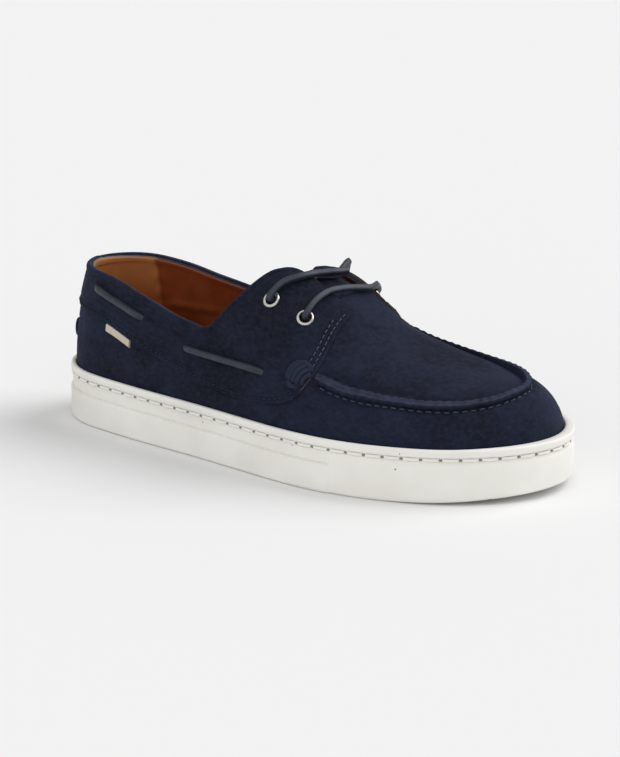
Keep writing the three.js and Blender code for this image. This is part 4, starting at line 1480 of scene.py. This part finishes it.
# The collar's binding
# A strip of suede rolled over the collar's rim from wing to wing, with a pale grey band along its inner
# edge as a painted highlight.
# A pale grey colour painted along the binding's inner edge as a highlight.
edge_highlight_grey = new_material("binding_edge_highlight", Base_Color=linear("6e5f5c"), Roughness=0.9)[0]
binding_profile = [  # up from the rim and out from the last
    (-2.5, 1.35),
    (-2.2, 1.75),
    (-1.2, 2),
    (-0.2, 1.95),
    (0.55, 1.5),
    (0.9, 0.6),
    (0.9, -0.4),
    (0.68, -1.25),
    (0.55, -1.5),
    (0.3, -2),
    (-0.3, -2.3),
    (-1.6, -2.3),
    (-3.2, -2.2),
    (-3.3, -1.95),
    (-1.5, -0.3),
]
highlight_side = (7, 8)
lined_side = (9, 10, 11, 12)
edge_side = 5
inner_drop = 1.1  # the grey highlight band lies lower on the inner side
rim_sides = []
for side in (0, 1):
    m = np.linspace(0, np.interp(peak_x - 0.2, spine_x(fine_m), fine_m) + 0.04, 420)
    rise = rim_rise(m, side)
    upto = last_point(on_side(m, side), rise)[:, 0] < peak_x + 3
    rim_sides.append(np.stack([on_side(m, side), rise], 1)[upto])
station, rise = np.vstack([rim_sides[0][::-1], rim_sides[1][1:]]).T
point, out = on_last(station, rise, 0)
tangent = unit(np.gradient(point, axis=0))
up = point - last_point(station, rise - 0.02)
up = unit(up - (up * tangent).sum(1, keepdims=True) * tangent)
out = out - (out * tangent).sum(1, keepdims=True) * tangent - (out * up).sum(1, keepdims=True) * up
out = unit(out)
folds = slack(point)[:, None]
run = lengths(point)
grown = np.clip(np.minimum(run, run[-1] - run) / 10, 0, 1)[:, None] ** 0.7
drop = inner_drop * np.clip((point[:, 1:2] - spine_y(point[:, :1])) / 25, 0, 1)
rings = []
for number, (a, b) in enumerate(binding_profile):
    height = (a - drop * (7 <= number <= 10)) * grown - 0.9 * (1 - grown)
    rings.append(point + up * height + out * (b * (0.6 + 0.4 * grown) + folds))
rings = np.array(rings).transpose(1, 0, 2)
count = len(binding_profile)
faces = tube_faces(len(rings), count)
marked = dict.fromkeys(highlight_side, 1) | dict.fromkeys(lined_side, 2) | {edge_side: 3}
slots = [marked.get(k % count, 0) for k in range(len(faces) - 2)] + [0, 0]
materials = [navy_suede, edge_highlight_grey, lining_leather, cut_suede]
binding = make_mesh("collar_binding", rings, faces, materials, slots, angle=50)

# The eyelets
# Rolled nickel-plated brass, set through the panel and the upper beneath it: a barrel with a round
# flange on top, turned over underneath.
nickel, tree, shader = new_material(
    "brushed_nickel_plating", Base_Color=linear("c4c3bf"), Metallic=1.0, Roughness=0.24
)
where = add_node(tree, "TexCoord", {}, "Object")
wear = add_node(tree, "TexNoise", {"Vector": where, "Scale": per_metre(1.6), "Detail": 4})
roughness = add_node(tree, "MapRange", {"Value": wear, "To Min": 0.18, "To Max": 0.42})
tree.links.new(roughness, shader["Roughness"])
eyelet_sides = 48
eyelet_profile = [  # out from the axis and up from the last
    (2.6, -3.6),
    (2.6, 1.4),
    (2.68, 2),
    (2.95, 2.5),
    (3.35, 2.75),
    (3.8, 2.72),
    (4.2, 2.45),
    (4.45, 2.1),
    (4.5, 1.78),
    (4.3, 1.7),
    (3.4, 1.7),
    (3, 1.6),
    (3, -2.4),
    (3.9, -2.5),
    (3.9, -2.9),
    (3.2, -3.5),
]
angles = np.linspace(0, 2 * math.pi, eyelet_sides, endpoint=False)
for name, (station, rise) in eyelet_places.items():
    centre, axis = on_last(station, rise, 0)
    first = unit(np.cross(axis, (0, 0, 1)))
    second = np.cross(axis, first)
    spokes = np.cos(angles)[:, None] * first + np.sin(angles)[:, None] * second
    rings = np.array([centre + spokes * out + axis * up for out, up in eyelet_profile])
    faces = ring_faces(len(rings), eyelet_sides)
    last = (len(rings) - 1) * eyelet_sides
    for j in range(eyelet_sides):
        k = (j + 1) % eyelet_sides
        faces.append((last + j, last + k, k, j))
    eyelet = make_mesh("eyelet_ring_" + name, rings, faces, [nickel], angle=60)
    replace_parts(eyelet, "eyelet_" + name)

# The heel strip and the loop
# A strip of suede over the joint of the panels, sewn down both edges with navy thread. Below it a
# rolled loop of suede, whose ends run in under the strip.
strip_width = 16
strip_foot = 50
strip_thickness = 1
strip_rows = 60
strip_columns = 41
strip_stitch = (2.6, 1.9, 0.5, 0.3)
loop_width = 18
loop_foot = 38
loop_columns = 60
loop_sides = 28


def back_grid(y, z):
    """Station and rise of points at the back of the heel, by width and height."""
    y, z = np.broadcast_arrays(np.asarray(y, float), np.asarray(z, float))

    def within(m):
        return -last_point(m, rise_at(m, z, 24))[..., 1] > np.abs(y)

    m = bisected(within, 0, 0.2, y.shape, 24)[1]
    return np.where(y > 0, 2 - m, m), rise_at(m, z, 24)


across = strip_width / 2 * np.sin(np.linspace(-1, 1, strip_columns) * math.pi / 2)
heights = np.linspace(strip_foot, collar_height - 0.9, strip_rows)
station, rise = back_grid(across[None, :], heights[:, None])
edge_way = strip_width / 2 - np.abs(across)[None, :]
nearest = np.minimum(edge_way, (heights - strip_foot)[:, None])
lift = strip_thickness - 0.35 * np.exp(-nearest / 0.3) - 0.25 * bump(nearest, 2, 0.45)
lift -= 0.8 * np.clip((heights[:, None] - collar_height + 4) / 3, 0, 1)
strip_base = fit / 2 + panel_thickness
top = hide(station, rise, strip_base + lift)[0]
bottom = hide(station, rise, strip_base - 0.1)[0]
kept = np.ones((strip_rows - 1, strip_columns), bool)
strip = shell("heel_strip_leaf", top, bottom, kept, [navy_suede, cut_suede, cut_suede])
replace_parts(strip, "heel_strip")
for side, name in ((-1, "outer"), (1, "inner")):
    station, rise = back_grid(side * (strip_width / 2 - 2), heights[:-3])
    line, normals = hide(station, rise, strip_base + strip_thickness)
    stitched_row("heel_strip_stitches_" + name, line, normals, strip_stitch, navy_thread)

# The loop: a tube of suede bent over itself, flat at its ends.
across = np.linspace(-1, 1, loop_columns) * loop_width / 2
middle_height = (loop_foot + strip_foot) / 2 - 0.2
angles = np.linspace(0, 2 * math.pi, loop_sides, endpoint=False)
full = quarter_round((loop_width / 2 - np.abs(across)) / 1.6, 0.02)[:, None]
z = middle_height + np.sin(angles) * (5.4 + 0.3 * np.cos(across[:, None] / 2.1)) * (0.75 + 0.25 * full)
front = np.sign(np.cos(angles)) * np.abs(np.cos(angles)) ** 0.8
crease = 0.5 * bump(across, -2, 1.4) + 0.3 * bump(across, 4.5, 1.1)
station, rise = back_grid(across[:, None], z)
rings = on_last(station, rise, 0.35 + (1.7 + 1.9 * front) * full - crease[:, None] * (front > 0))[0]
loop = make_mesh("heel_loop_roll", rings, tube_faces(loop_columns, loop_sides), [navy_suede], angle=60)
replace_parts(loop, "heel_loop")

# The side tab
# A plain ribbon of ecru cotton in a fine weave, folded at its lower edge and sewn in under the
# outer panel's edge.
tab_from = 0.15 * sole_length
tab_to = 0.21 * sole_length
tab_rows = [-2, -1, 0, 0.4, 0.9, 1.5, 2.2, 2.9, 3.5, 3.95, 4.25, 4.4]  # down from the panel's edge
tab_columns = 70
ribbon, tree, shader = new_material("woven_ecru_ribbon", Roughness=0.9)
where = add_node(tree, "TexCoord", {}, "Object")
threads = []
for way, size in (("X", 2.2), ("Z", 1.6)):
    waves = {"Vector": where, "Scale": per_metre(size), "Distortion": 0.4}
    threads.append(add_node(tree, "TexWave", waves, "Fac", bands_direction=way))
weave = add_node(tree, "Math", {0: threads[0], 1: threads[1]}, operation="MULTIPLY")
shades = {0: weave, 6: linear("bdb39c"), 7: linear("e6dfcf")}
tree.links.new(add_node(tree, "Mix", shades, 2, data_type="RGBA"), shader["Base Color"])
relief = add_node(tree, "Bump", {"Height": weave, "Strength": 0.5, "Distance": 0.15 * MM})
tree.links.new(relief, shader["Normal"])

x = np.linspace(tab_from, tab_to, tab_columns)
table = edge_curve(panel_edge, 0, collar_height, 300)
hem = np.interp(x, *table[:110].T)  # the lower edge's rear part
down = np.array(tab_rows)[:, None]
station, rise = station_at(*np.broadcast_arrays(x[None, :], hem - down), 0)
fold = np.sqrt(np.clip(1 - (np.clip((down - 3.5) / 0.9, 0, 1)) ** 2, 0.02, 1))
lift = np.where(down < 0.2, 0.1 * fold, 0.15 + 0.95 * fold + 0.12 * np.sin(x / 3.1))
top = hide(station, rise, lift)[0]
bottom = hide(station, rise, 0.02)[0]
kept = np.ones((len(tab_rows) - 1, tab_columns), bool)
tab = shell("side_tab_ribbon", top, bottom, kept, [ribbon, ribbon, ribbon])
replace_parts(tab, "side_tab")

# The floor and the light
# Pale matt paper in a white studio: an even overhead light, stronger from behind on the right, and
# a soft fill from the front.
floor_mesh = bpy.data.meshes.new("floor")
floor_mesh.from_pydata([(-40, -40, 0), (40, -40, 0), (40, 40, 0), (-40, 40, 0)], [], [(0, 1, 2, 3)])
floor = bpy.data.objects.new("floor", floor_mesh)
bpy.context.collection.objects.link(floor)
paper = new_material("matt_paper", Base_Color=linear("ececec"), Roughness=0.9, Specular_IOR_Level=0.0)[0]
floor_mesh.materials.append(paper)
world = bpy.data.worlds.new("studio")
world.use_nodes = True
bpy.context.scene.world = world
background = world.node_tree.nodes["Background"]
background.inputs[0].default_value = (1, 1, 1, 1)
background.inputs[1].default_value = 0.42
for name, towards, spread_angle, strength in (
    ("overhead", (0.6, 0.75, 1), 50, 1.85),
    ("front_fill", (0.1, -1, 0.7), 110, 1.15),
):
    light = bpy.data.lights.new(name, "SUN")
    light.angle = math.radians(spread_angle)
    light.energy = strength
    lamp = bpy.data.objects.new(name, light)
    lamp.rotation_euler = Vector(towards).to_track_quat("Z", "Y").to_euler()
    bpy.context.collection.objects.link(lamp)
bpy.context.scene.view_settings.view_transform = "Standard"
